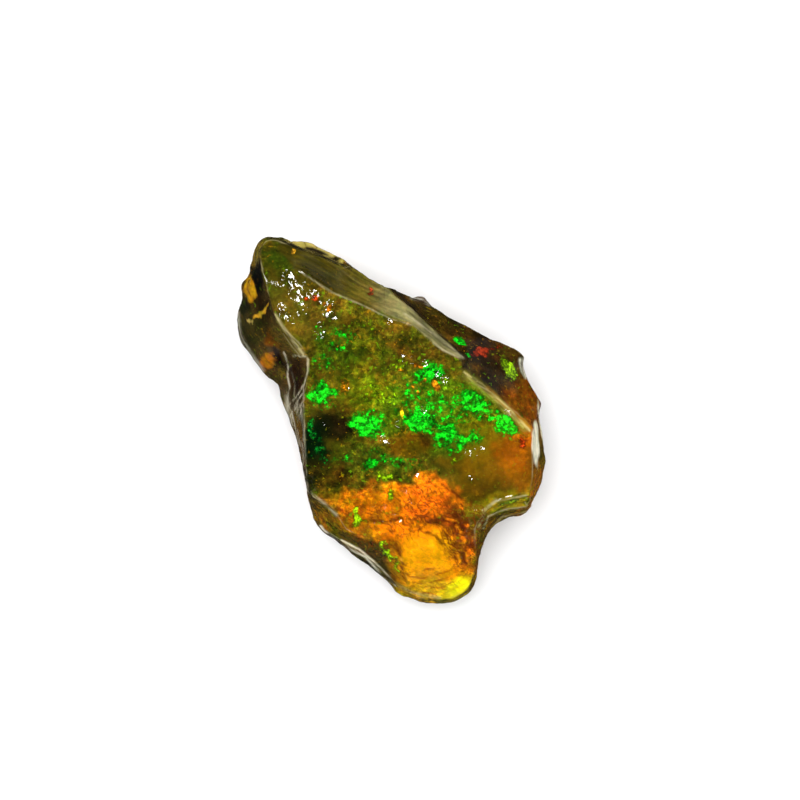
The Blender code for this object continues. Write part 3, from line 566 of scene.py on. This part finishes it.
# Lines along the ledge, unbroken from end to end: a painted highlight on its pale edge, a painted shadow in
# the pocket under it, and two thin brown lines: (line, width, colour)
LEDGE_LIGHT_SHADOW_AND_LINES = [
    ([(-9.1, 16.2), (-7.8, 16.25), (-6.7, 15.85), (-5.7, 15.35), (-5.3, 15)], 0.34, (0.8, 0.62, 0.16)),
    ([(-7.6, 15.6), (-6.9, 15.45), (-6.2, 15.1)], 0.3, (0.02, 0.012, 0.002)),
    ([(-8, 16.5), (-7.7, 15.9)], 0.1, (0.3, 0.2, 0.03)),
    ([(-6.9, 16.1), (-6.7, 15.6)], 0.1, (0.26, 0.17, 0.03)),
]


def painted(colour, weight, paint):
    """The colour with paint over it, as thick as its weight at each point."""
    weight = weight[:, None]
    return np.asarray(colour) * (1 - weight) + np.asarray(paint) * weight


def wall_colour(points):
    """Broad patches of amber in the dark."""
    return painted(WALL_DARK, rise(at_noise(points, 3.4, 24), -0.3, 0.4), WALL_AMBER)


def bevel_colour_and_sheen(points):
    """Dark at the bevel's left end and pale at its right, where the pale is painted sheen, with streaks
    along it.
    """
    streaks = streaky(points, BEVEL_RUN, 3.4, 0.24, 25)
    streaks += 0.35 * streaky(points, BEVEL_RUN, 5.0, 0.9, 28)
    left, middle, right = BEVEL_COLOURS_AND_SHEEN
    shade = painted(left, rise(points[:, 0], -6.0, -2.6), middle)
    shade = painted(shade, rise(points[:, 0], -2.6, 1.2), right)
    return shade * np.exp(0.75 * streaks[:, None])


def upper_right_colour(points):
    """An uneven dark brown that turns orange toward the lower right."""
    upper = 1 - rise(points[:, 0], 5.0, 8.0)
    brown = np.array(RIGHT_BROWN) + np.array(RIGHT_BROWN_RISE) * upper[:, None]
    brown = brown * np.exp(1.6 * at_noise(points, 1.5, 38))[:, None]
    return painted(brown, rise(points[:, 0] - points[:, 1], 6.5, 9.5), RIGHT_ORANGE)


def ledge_colour(points):
    """Chipped gold over the dark, with more of it toward the left end."""
    chipped = rise(at_noise(points, 1.3, 26) + 0.1 * (-6.6 - points[:, 0]), -0.5, 0.0)
    return painted(WALL_DARK, chipped, LEDGE_GOLD)


def with_folds(colour, points, up):
    """Painted shade along the grooved rings and in the dark folds, and the flames of orange between them."""
    rings = (ringed(points) * up)[:, None]
    colour = colour * (1 - rings * (1 - np.array(RING_SHADE)))
    colour = painted(colour, 0.9 * creased(points) * up, CREASE_SHADE)
    broken = rise(at_noise(points, 0.7, 43), -0.3, 0.15)
    for line, width, paint in FLAMES:
        colour = painted(colour, 0.9 * (line_near(points, line, width) * broken) * up, paint)
    return colour


def with_strips(colour, points, normals):
    """The pale and dark strips, with their painted reflections and shadows, torn into hairs and broken into
    patches.
    """
    above = upper_side(normals)
    for line, width, strength, paint in STRIPS:
        weight = line_near(points, line, width) * strength
        near = weight > 0
        run = np.subtract(line[-1], line[0])
        hairs = streaky(points[near], run, 1.8, 0.22, 27)
        patches = at_noise(points[near] + STRIP_PATCH_SHIFT, 1.7, 29) + facing_up(normals[near], 0.15, 0.6)
        weight[near] *= rise(hairs, -0.6, 0.15) * rise(patches, -0.25, 0.25)
        colour = painted(colour, weight * above, paint)
    return colour


def with_rim(colour, points, above):
    """Painted reflections on the blades of the right rim, and the ledge's painted highlight, painted shadow
    and thin lines.
    """
    waves = np.stack([0.1 * at_noise(points, 0.9, 44), 0.5 * at_noise(points, 1.2, 45)], axis=1)
    waved = shifted(points, waves)
    grain = np.exp(0.35 * streaky(points, (0.1, 1), 1.6, 0.22, 46))[:, None]
    for *ellipse, paint in RIM_BLADE_REFLECTIONS:
        colour = painted(colour, disc(waved, *ellipse, 0.22) * above, np.array(paint) * grain)
    for line, width, paint in LEDGE_LIGHT_SHADOW_AND_LINES:
        colour = painted(colour, line_near(points, line, width) * above, paint)
    return colour


def tinted(points, normals):
    """The body's colour at each point, painted zone over zone."""
    wavering = drift(points, 0.45, 1.1, 20) + drift(points, 0.22, 0.45, 22)
    wandered = shifted(points, wavering)
    strayed = shifted(points, 1.5 * wavering + drift(points, 1.1, 2.2, 35))
    up = facing_up(normals, 0.0, 0.5)
    colour = painted(wall_colour(points), up, BODY)
    for spot, radii, *shape, strength, paint in BODY_TINTS.values():
        places = strayed if min(radii) > WIDE_ZONE else wandered
        colour = painted(colour, disc(places, spot, radii, *shape) * strength * up, paint)
    for *ellipse, paint in WALL_TINTS:
        colour = painted(colour, disc(wandered, *ellipse, 0.4) * (1 - up) * 0.9, paint)
    colour = with_folds(colour, points, up)
    flank = region(points, LEFT_FLANK) * facing_up(normals, -0.3, 0.0)
    colour = painted(colour, flank, FLANK_BROWN)
    for *ellipse, strength, paint in FLANK_TINTS.values():
        colour = painted(colour, disc(wandered, *ellipse) * strength * flank, paint)
    above = upper_side(normals)
    colour = painted(colour, region(points, PALE_BEVEL) * above, bevel_colour_and_sheen(points))
    colour = painted(colour, region(points, UPPER_RIGHT) * above, upper_right_colour(points))
    colour = painted(colour, region(points, LEDGE, LEDGE_EDGE) * above, ledge_colour(points))
    colour = with_strips(colour, points, normals)
    return with_rim(colour, points, above) * TINT_LEVEL


# Flashes of play of colour: (spot, radii, turn, strength, colour)

GREEN = (0.002, 0.44, 0.006)
LIME = (0.2, 0.4, 0.002)
RED = (0.36, 0.03, 0.002)
ORANGE = (0.62, 0.2, 0.003)
YELLOW = (0.8, 0.52, 0.006)
SIDE_ORANGE = (0.7, 0.2, 0.004)
FLASHES = [
    ((-6, 2.6), (1.2, 1.1), 0, 0.9, GREEN), ((-2.2, -0.4), (1.6, 1.2), 10, 0.9, GREEN),
    ((2.6, -0.1), (1.5, 1.1), 0, 0.8, GREEN), ((7.4, 1.8), (2, 1.3), -30, 0.7, GREEN),
    ((9.4, 1.9), (1, 0.6), -35, 0.6, GREEN), ((10.7, 0.2), (1.4, 1.4), -30, 0.95, GREEN),
    ((3.6, 4.3), (1.4, 1), 20, 0.7, GREEN), ((5.3, -0.9), (1.8, 1), 0, 0.72, GREEN),
    ((7, -1.8), (1.3, 1.3), -20, 0.7, GREEN), ((-1.8, -3.9), (0.6, 0.5), 0, 0.85, GREEN),
    ((-7, -0.6), (0.4, 1), 0, 0.6, (0.001, 0.22, 0.012)),
    ((-6.2, -2.4), (1.1, 1.8), 20, 0.4, (0.001, 0.1, 0.006)), ((-4.6, -3.2), (1.6, 0.6), 10, 0.36, GREEN),
    ((6.2, 7.2), (0.5, 0.35), 0, 1, GREEN), ((6.8, 5.9), (0.25, 0.3), 0, 0.8, GREEN),
    ((-4.2, 7.8), (1.5, 0.7), -20, 0.4, GREEN), ((-5.9, 5.2), (1.2, 0.8), 0, 0.36, GREEN),
    ((-2.4, 8.6), (1.2, 0.6), -20, 0.34, LIME), ((1, -2.9), (1.8, 0.8), 0, 0.45, GREEN),
    ((4.4, -2.4), (2, 1), 0, 0.48, GREEN), ((6.4, -3.2), (1.6, 0.7), 0, 0.55, LIME),
    ((-1.2, 2.6), (2.2, 1.3), -20, 0.45, LIME), ((0.6, 5), (1, 0.8), 0, 0.4, LIME),
    ((5.6, 2.6), (1.6, 0.8), -30, 0.45, LIME), ((10.6, 4.6), (1, 0.5), -60, 0.95, LIME),
    ((0, -6.4), (0.35, 0.8), 10, 0.7, LIME), ((-0.6, -5), (0.9, 0.5), 0, 0.55, LIME),
    ((-3.1, -8.6), (0.3, 0.8), 0, 0.75, LIME), ((0, -12.2), (0.45, 1.7), 25, 0.62, LIME),
    ((10.8, -7), (1.5, 0.32), 12, 0.8, (0.12, 0.2, 0.003)),
    ((8.3, 6.3), (1.4, 0.32), 15, 0.8, (0.17, 0.014, 0.002)), ((1.1, 4.7), (0.24, 0.18), 0, 0.75, ORANGE),
    ((2.3, 4.9), (0.3, 0.16), -20, 0.75, ORANGE), ((2.9, 3.6), (0.26, 0.2), 0, 0.7, ORANGE),
    ((3.9, 3.3), (0.26, 0.3), 0, 0.8, ORANGE), ((2.3, 2.6), (0.22, 0.16), 0, 0.75, ORANGE),
    ((1.8, 3.1), (0.16, 0.2), 0, 0.75, ORANGE), ((1, 0.7), (0.24, 0.6), 0, 0.9, YELLOW),
    ((-5.4, 10.1), (0.8, 0.5), -40, 0.48, (0.42, 0.11, 0.002)),
    ((-6.6, 10.7), (0.7, 0.4), -30, 0.42, (0.42, 0.11, 0.002)), ((-7, 10.9), (0.5, 0.3), -20, 0.55, RED),
    ((-8.8, 15.2), (0.36, 0.3), 0, 0.46, (0.42, 0.2, 0.01)), ((7.6, -2), (0.9, 0.4), 40, 0.55, YELLOW),
    ((-4.2, 3.3), (0.5, 1), -30, 0.45, ORANGE), ((3.4, 1.4), (4.6, 2.4), -20, 0.4, GREEN),
    ((1.6, -3), (4.2, 1.4), 0, 0.36, GREEN), ((-5.2, 7.4), (2.2, 1.2), -30, 0.3, GREEN),
    ((10.2, 6.7), (1.5, 0.5), -40, 0.22, GREEN), ((-1.9, 11.6), (0.4, 0.5), 0, 0.4, RED),
    ((11.6, -1.9), (0.5, 0.8), 0, 0.6, RED),
]

# Places between the flashes where hardly any shows: (spot, radii, turn, share)
FLASHLESS = [
    ((1.7, -2.1), (2.1, 1.2), 0, 0.97), ((-4.7, -1.6), (1.3, 1.6), 0, 0.85),
    ((-2.4, 4.2), (1.6, 1.2), 0, 0.7), ((8.6, -4.6), (3.4, 2.4), 0, 0.9),
    ((-4.6, -5.6), (2, 1.2), 0, 0.8), ((1.4, 7.2), (2.4, 0.9), -25, 0.8),
    ((3.9, -3.5), (1.2, 1.1), 10, 0.9), ((11.6, 2), (1.5, 0.9), -45, 1),
    ((6.6, -0.6), (0.7, 0.6), 0, 0.6),
]


def stronger(strength, colour, weight, paint):
    """The stronger of the flashes so far and one more, with its colour."""
    take = (weight > strength)[:, None]
    return np.maximum(strength, weight), np.where(take, paint, colour)


def flash_maps(points, normals):
    """How strongly a flash shows at each point and its colour: placed above, drifting under the rim."""
    wandered = shifted(points, drift(points, 0.55, 1.2, 30))
    up = facing_up(normals, 0.3, 0.6)
    strength = np.zeros(len(points))
    colour = np.tile(GREEN, (len(points), 1))
    for *ellipse, power, paint in FLASHES:
        weight = disc(wandered, *ellipse, 0.8) * power * up
        strength, colour = stronger(strength, colour, weight, paint)
    under = 1 - facing_up(normals, -0.35, 0.05)
    weight = rise(at_noise(points, 2.4, 32), 0.1, 0.5) * under * 0.75
    hue = rise(at_noise(points, 3.0, 33), -0.2, 0.2)
    strength, colour = stronger(strength, colour, weight, painted(SIDE_ORANGE, hue, GREEN))
    for line, width, cover, _ in STRIPS:
        strength *= 1 - cover * line_near(points, line, width * 1.3) * upper_side(normals)
    for *ellipse, share in FLASHLESS:
        strength *= 1 - share * disc(wandered, *ellipse, 0.4) * up
    return strength, colour


# Where the body is less mottled: (spot, radii, turn, share), or (outline, edge if its own, share)
QUIET = [
    ((8.6, -4), (4.6, 3.4), 0, 0.75), ((-9.2, 13), (2.4, 3.6), 0, 0.45),
    ((1.6, -8.6), (5.6, 2.4), 0, 0.4), ((3, -12.6), (3.4, 3), 0, 0.7), ((-7.6, 8.4), (1.8, 1.6), 0, 0.4),
    ((-4.6, 3.2), (2.2, 1.4), -20, 0.3), ((-6.2, -1.4), (1.7, 3), 4, 0.65),
    ((6.2, -15), (1.6, 1), 35, 0.85), ((12.96, -2.1), (0.6, 2.1), 1, 0.85),
    ((13.62, -0.7), (0.5, 2.5), 10, 0.85), ((1.7, -2.1), (1.9, 1.1), 0, 0.45),
]
QUIET_PARTS = [
    (PALE_BEVEL, 0.75), (UPPER_RIGHT, 0.35), (LEFT_FLANK, 0.55), (LEDGE, LEDGE_EDGE, 0.8),
]


def busyness(points, normals):
    """How mottled the body is, from hardly at all on frosted breaks to fully in the middle."""
    busy = np.ones(len(points))
    for *ellipse, share in QUIET:
        busy *= 1 - share * disc(points, *ellipse, 0.4)
    for *outline, share in QUIET_PARTS:
        busy *= 1 - share * region(points, *outline)
    for line, width, strength, _ in STRIPS:
        busy *= 1 - 0.9 * strength * line_near(points, line, width * 1.2)
    return busy * (1 - 0.3 * (1 - facing_up(normals, 0.1, 0.5)))


def clearness(points, normals):
    """The share of light that goes through the haze: most in the lobe and at thin edges."""
    lobe = disc(points, (3.4, -12.8), (4.6, 3.8), -40, 0.5)
    window = disc(points, (-12.8, 11.9), (0.8, 1.5), -10, 0.4)
    low = 1 - rise(points[:, 2], 2.0, 7.0)
    side = 1 - facing_up(normals, 0.0, 0.5)
    return np.clip(0.04 + 0.22 * lobe + 0.4 * window + 0.3 * low * side, 0, 0.6)


def frostiness(points, normals):
    """Where the break is dull: the right part of the bevel and the strips."""
    frost = region(points, PALE_BEVEL) * rise(points[:, 0], -3.5, 1.5)
    for line, width, strength, _ in STRIPS:
        frost = np.maximum(frost, line_near(points, line, width) * strength * 0.8)
    return frost * upper_side(normals)


# Places where ridges meet or end and are not made paler: (spot, radii, turn)
PLAIN_RIDGE_SPOTS = [
    ((-8.6, 13.6), (1.3, 1.3), 0), ((-7.0, -5.6), (0.8, 0.8), 0), ((5.8, 5.2), (1.5, 1.0), -40),
    ((-0.9, -11.0), (2.2, 1.1), -25), ((-11.2, 5.6), (1.0, 1.0), 0),
]


def ridge_paleness(points, on_ridge):
    """Where the stand-out ridges are made paler: here and there along them."""
    kept_plain = sum(disc(points, *ellipse) for ellipse in PLAIN_RIDGE_SPOTS)
    return on_ridge * rise(at_noise(points, 1.1, 40), -0.25, 0.45) * (1 - np.clip(kept_plain, 0, 1))


def lean_to_lamp(normals):
    """How steeply a facet must climb along x and y, over the surface, to mirror the glint lamp upward."""
    lamp = np.array(GLINT_LAMP) / np.linalg.norm(GLINT_LAMP)
    half_way = lamp + (0, 0, 1)
    up = np.maximum(normals[:, 2], 0.3)
    more = normals[:, :2] / up[:, None] - half_way[:2] / half_way[2]
    return np.concatenate([np.clip(more, -1, 1), np.zeros((len(normals), 1))], axis=1)


def put(mesh, name, values, kind="FLOAT", field="value"):
    attribute = mesh.attributes.new(name, kind, "POINT")
    attribute.data.foreach_set(field, values.astype(np.float32).ravel())


def put_colour(mesh, name, colour):
    rows = np.concatenate([np.clip(colour, 0, 1), np.ones((len(colour), 1))], axis=1)
    put(mesh, name, rows, "FLOAT_COLOR", "color")


def put_maps(mesh, points, normals, on_ridge):
    """What the material reads at each point."""
    flash, flash_tint = flash_maps(points, normals)
    put_colour(mesh, "tint", tinted(points, normals))
    put(mesh, "flash", flash)
    put_colour(mesh, "flash_tint", flash_tint)
    put(mesh, "clear", clearness(points, normals))
    put(mesh, "frost", frostiness(points, normals))
    put(mesh, "ridge_pale", ridge_paleness(points, on_ridge))
    put(mesh, "busy", busyness(points, normals))
    put(mesh, "glint", glinting(points) * facing_up(normals, 0.7, 0.9))
    put(mesh, "wrinkled", wrinkled(points) * facing_up(normals, 0.1, 0.4))
    put(mesh, "lean", lean_to_lamp(normals), "FLOAT_VECTOR", "vector")


# Materials

class Shader:
    """Adds nodes to a tree, with inputs given as values or as other nodes' outputs."""

    def __init__(self, owner):
        owner.use_nodes = True
        self.tree = owner.node_tree

    def set(self, node, name, value):
        if isinstance(value, bpy.types.NodeSocket):
            self.tree.links.new(value, node.inputs[name])
        else:
            node.inputs[name].default_value = value

    def node(self, kind, inputs=(), **settings):
        node = self.tree.nodes.new(kind)
        for name, value in settings.items():
            setattr(node, name, value)
        for name, value in dict(inputs).items():
            self.set(node, name, value)
        return node

    def math(self, operation, a, b=0.0, **settings):
        return self.node("ShaderNodeMath", {0: a, 1: b}, operation=operation, **settings).outputs[0]

    def scaled(self, value, factor):
        return self.math("MULTIPLY", value, factor)

    def rest(self, value):
        return self.math("SUBTRACT", 1.0, value)

    def weighed(self, first, *others):
        """The sum of some values, each given with its weight."""
        total = self.scaled(*first)
        for pair in others:
            total = self.math("ADD", total, self.scaled(*pair))
        return total

    def vector(self, operation, a, b, output="Vector"):
        return self.node("ShaderNodeVectorMath", {0: a, 1: b}, operation=operation).outputs[output]

    def rise(self, value, low, high):
        inputs = {"Value": value, "From Min": low, "From Max": high}
        return self.node("ShaderNodeMapRange", inputs, interpolation_type="SMOOTHSTEP").outputs[0]

    def near_zero(self, value, low, high):
        """1 where a value is nearly zero: thin lines through noise."""
        return self.rest(self.rise(self.math("ABSOLUTE", value), low, high))

    def mix(self, share, a, b, blend="MIX"):
        node = self.node("ShaderNodeMix", data_type="RGBA", blend_type=blend)
        for socket, value in ((0, share), (6, a), (7, b)):
            self.set(node, socket, value)
        return node.outputs[2]

    def lit(self, colour, level):
        grey = self.node("ShaderNodeCombineColor", {0: level, 1: level, 2: level}).outputs[0]
        return self.mix(1.0, colour, grey, "MULTIPLY")

    def noise(self, place, scale, detail, roughness):
        inputs = {"Vector": place, "Scale": scale, "Detail": detail, "Roughness": roughness}
        return self.node("ShaderNodeTexNoise", inputs).outputs["Fac"]

    def even_noise(self, *inputs):
        """Noise about zero."""
        return self.math("SUBTRACT", self.noise(*inputs), 0.5)

    def pushed(self, place, scale, detail, reach):
        """The place, pushed about by noise."""
        push = self.node("ShaderNodeTexNoise", {"Vector": place, "Scale": scale, "Detail": detail})
        push = self.vector("MULTIPLY", push.outputs["Color"], (reach, reach, reach))
        return self.vector("ADD", place, push)

    def attribute(self, name, output="Fac"):
        return self.node("ShaderNodeAttribute", attribute_name=name).outputs[output]


GREENER = (0.7, 1.2, 0.8, 1)
REDDER = (1.25, 0.86, 1.0, 1)
FLECK_ORANGE = (0.42, 0.2, 0.003, 1)
FLECK_GREEN = (0.14, 0.34, 0.003, 1)
STREAK_SHADE = (0.15, 0.028, 0.001, 1)
RIDGE_PALE_COLOUR = (0.4, 0.34, 0.17, 1)
INSIDE_COLOUR = (0.98, 0.86, 0.02, 1)
INSIDE_DENSITY = 800.0
PAPER_COLOUR = (0.96, 0.96, 0.96, 1)
PAPER_SHADE = (0.9, 0.9, 0.9, 1)
OPAL_IOR = 1.45
GLINT_CELLS = 3.1
GLINT_SWING = 0.28
FINE_HEIGHT = 0.016
STREAK_DEPTH = 0.04


def body_colour(s, place, flake):
    """The painted tint made lighter and darker, greener and redder, with flecks."""
    busy = s.attribute("busy")
    mottle = s.even_noise(place, 0.85, 3, 0.55)
    grain = s.even_noise(place, 2.5, 4, 0.62)
    cloud = s.even_noise(place, 0.45, 3, 0.55)
    veil = s.near_zero(s.even_noise(place, 0.7, 4, 0.58), 0.0, 0.035)
    depth = s.weighed((mottle, 2.9), (grain, 3.2), (flake, 0.75), (veil, 0.55))
    depth = s.weighed((depth, busy), (cloud, 1.6))
    body = s.lit(s.attribute("tint", "Color"), s.math("EXPONENT", depth))
    hue = s.rise(s.noise(place, 0.9, 4, 0.65), 0.3, 0.7)
    body = s.mix(busy, body, s.mix(1.0, body, s.mix(hue, GREENER, REDDER), "MULTIPLY"))
    flecks = s.rise(s.noise(place, 2.4, 3, 0.62), 0.61, 0.66)
    fleck_hue = s.rise(s.noise(place, 0.7, 2, 0.5), 0.42, 0.58)
    return s.mix(s.scaled(s.scaled(flecks, busy), 0.6), body, s.mix(fleck_hue, FLECK_ORANGE, FLECK_GREEN))


def fold_streaks(s, place):
    """1 along fine slanting streaks where the break is wrinkled."""
    inputs = {"Vector": s.pushed(place, 0.7, 1.0, 1.3), "Rotation": (0, 0, -0.72), "Scale": (1.7, 0.52, 0.8)}
    slanting = s.node("ShaderNodeMapping", inputs, vector_type="TEXTURE").outputs[0]
    streak = s.near_zero(s.even_noise(slanting, 1.0, 3, 0.55), 0.008, 0.055)
    return s.scaled(streak, s.attribute("wrinkled"))


def flashes(s, place, flake):
    """How far a flash covers the body, in ragged patches, and its uneven light."""
    flash = s.attribute("flash")
    ragged = s.even_noise(place, 1.9, 4, 0.68)
    spark = s.even_noise(place, 4.2, 3, 0.62)
    chosen = s.weighed((flash, 1.0), (ragged, 2.0), (s.rise(flash, 0.45, 0.95), 0.45))
    chosen = s.scaled(chosen, s.rise(flash, 0.02, 0.3))
    core = s.math("ADD", 0.22, s.scaled(s.rise(chosen, 0.35, 0.9), 0.78))
    light = s.math("EXPONENT", s.weighed((spark, 6.0), (ragged, 4.0), (flake, 1.7)))
    light = s.math("MINIMUM", s.scaled(light, s.scaled(core, 0.86)), 2.4)
    return s.rise(chosen, 0.12, 0.62), s.lit(s.attribute("flash_tint", "Color"), light)


def glint_facets(s, place):
    """The height of small facets, each leaning its own way about the slope that mirrors the lamp."""
    cells = s.node("ShaderNodeTexVoronoi", {"Vector": place, "Scale": GLINT_CELLS})
    off = s.vector("SUBTRACT", place, cells.outputs["Position"])
    swing = s.vector("SUBTRACT", cells.outputs["Color"], (0.5, 0.5, 0.5))
    swing = s.vector("MULTIPLY", swing, (GLINT_SWING, GLINT_SWING, 0))
    lean = s.vector("ADD", s.attribute("lean", "Vector"), swing)
    return s.vector("DOT_PRODUCT", lean, off, "Value")


def fine_bumps(s, place, streak):
    """Facets in the glints, a fine grain elsewhere and shallow streaks, as a normal."""
    glint = s.attribute("glint")
    fine = s.even_noise(place, 4.0, 3, 0.6)
    height = s.weighed((glint_facets(s, place), glint), (fine, s.scaled(s.rest(glint), FINE_HEIGHT)))
    height = s.math("SUBTRACT", height, s.scaled(streak, STREAK_DEPTH))
    return s.node("ShaderNodeBump", {"Height": height, "Distance": MM}).outputs[0]


def opal_material():
    material = bpy.data.materials.new("opal")
    s = Shader(material)
    per_mm = (1 / MM, 1 / MM, 1 / MM)
    place = s.vector("MULTIPLY", s.node("ShaderNodeTexCoord").outputs["Object"], per_mm)
    flakes = s.node("ShaderNodeTexVoronoi", {"Vector": s.pushed(place, 1.8, 2.0, 0.7), "Scale": 2.7})
    flake = s.node("ShaderNodeSeparateColor", {0: flakes.outputs["Color"]}).outputs[0]
    flake = s.math("SUBTRACT", flake, 0.5)
    streak = fold_streaks(s, place)
    # The fine streaks are darkened with painted shade where the bump sinks them
    body = s.mix(s.scaled(streak, 0.85), body_colour(s, place, flake), STREAK_SHADE)
    shown, flare = flashes(s, place, flake)
    ridge_pale = s.scaled(s.attribute("ridge_pale"), 0.48)
    colour = s.mix(ridge_pale, s.mix(s.scaled(shown, 0.94), body, flare), RIDGE_PALE_COLOUR)
    opaque = s.math("ADD", s.scaled(shown, 0.8), ridge_pale, use_clamp=True)

    surface = s.tree.nodes["Principled BSDF"]
    s.set(surface, "Base Color", colour)
    s.set(surface, "Transmission Weight", s.scaled(s.attribute("clear"), s.rest(opaque)))
    s.set(surface, "Roughness", s.math("ADD", 0.05, s.scaled(s.attribute("frost"), 0.35)))
    s.set(surface, "Normal", fine_bumps(s, place, streak))
    s.set(surface, "IOR", OPAL_IOR)

    inside = s.node("ShaderNodeVolumeAbsorption", {"Color": INSIDE_COLOUR, "Density": INSIDE_DENSITY})
    s.set(s.tree.nodes["Material Output"], "Volume", inside.outputs[0])
    return material


def floor_material():
    material = bpy.data.materials.new("pale paper")
    s = Shader(material)
    surface = s.tree.nodes["Principled BSDF"]
    grain = s.noise(s.node("ShaderNodeTexCoord").outputs["Object"], 900.0, 2, 0.5)
    s.set(surface, "Base Color", s.mix(s.scaled(grain, 0.03), PAPER_COLOUR, PAPER_SHADE))
    s.set(surface, "Roughness", 0.9)
    return material


def placed(name, data, spot=(0, 0, 0)):
    obj = bpy.data.objects.new(name, data)
    obj.location = spot
    bpy.context.scene.collection.objects.link(obj)
    return obj


def opal():
    """The CAD node's solid, smoothed and with its relief, in its place."""
    points, faces = coarse_mesh(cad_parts["rough_opal"])
    ridge, outward = ridge_edges(points, faces)
    points, faces, outward = split_smooth(points, faces, ridge, outward)
    points, faces, outward = split_smooth(points, faces, np.zeros_like(outward), outward)
    on_ridge = np.zeros(len(points))
    on_ridge[np.unique(edges_of(faces)[0][outward])] = 1
    normals = point_normals(points, faces)
    points += normals * stone_relief(points, normals)[:, None]
    mesh = write_mesh("opal", points, faces)
    put_maps(mesh, points, point_normals(points, faces), on_ridge)
    mesh.materials.append(opal_material())
    obj = placed("opal", mesh)
    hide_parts("rough_opal")
    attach(obj, "root")


# Stage, lights and camera, in metres and watts

FLOOR_HALF = 1.5
FLOOR_DROP = 0.00002
SOFT_LAMP_SIZE = 0.6
SOFT_LAMPS = [
    ("overhead", (-0.05, 0.06, 0.55), 4.6), ("soft left", (-0.46, 0.16, 0.3), 1),
    ("soft right", (0.4, 0.34, 0.3), 0.9), ("soft front", (0.1, -0.5, 0.3), 0.9),
]
GLINT_LAMP = (-0.131, 0.156, 0.367)
GLINT_LAMP_SIZE = 0.08
GLINT_LAMP_POWER = 1.2
CLIP_START = 0.01

# The room's light from straight down to straight up: (share of the way, level)
SKY_STOPS = [(0.0, 0.02), (0.45, 0.03), (0.5, 0.42), (0.54, 0.24), (0.61, 0.06), (1.0, 0.03)]


def floor():
    mesh = bpy.data.meshes.new("floor")
    corners = [(x * FLOOR_HALF, y * FLOOR_HALF, 0) for x, y in ((-1, -1), (1, -1), (1, 1), (-1, 1))]
    mesh.from_pydata(corners, [], [(0, 1, 2, 3)])
    mesh.materials.append(floor_material())
    obj = placed("floor", mesh, (0, 0, -FLOOR_DROP))
    obj.visible_glossy = False


def area_light(name, spot, size, power):
    light = bpy.data.lights.new(name, "AREA")
    light.shape = "DISK"
    light.size = size
    light.energy = power
    obj = placed(name, light, spot)
    obj.rotation_euler = (-Vector(spot)).to_track_quat("-Z", "Y").to_euler()
    return obj


def lights():
    """Large soft lamps that only light, and a small one that only shows as glints."""
    for name, spot, power in SOFT_LAMPS:
        area_light(name, spot, SOFT_LAMP_SIZE, power).visible_glossy = False
    area_light("glint lamp", GLINT_LAMP, GLINT_LAMP_SIZE, GLINT_LAMP_POWER).visible_diffuse = False


def sky():
    """A dim room with a bright band all round, so that only the steep faces shine."""
    world = bpy.data.worlds.new("room")
    s = Shader(world)
    way = s.node("ShaderNodeTexCoord").outputs["Generated"]
    height = s.node("ShaderNodeSeparateXYZ", {0: way}).outputs["Z"]
    share = s.node("ShaderNodeMapRange", {"Value": height, "From Min": -1.0}).outputs[0]
    ramp = s.node("ShaderNodeValToRGB", {0: share})
    elements = ramp.color_ramp.elements
    while len(elements) < len(SKY_STOPS):
        elements.new(1.0)
    for element, (place, level) in zip(elements, SKY_STOPS):
        element.position = place
        element.color = (level, level, level, 1)
    s.set(s.tree.nodes["Background"], "Color", ramp.outputs[0])
    bpy.context.scene.world = world


def camera():
    data = bpy.data.cameras.new("camera")
    data.lens = LENS
    data.sensor_width = SENSOR
    data.clip_start = CLIP_START
    distance = MM_PER_PIXEL * FRAME_PIXELS * LENS / SENSOR
    spot = (VIEW_CENTRE[0] * MM, VIEW_CENTRE[1] * MM, (RIM_HEIGHT + distance) * MM)
    bpy.context.scene.camera = placed("camera", data, spot)


opal()
floor()
lights()
sky()
camera()
bpy.context.scene.view_settings.view_transform = "Standard"
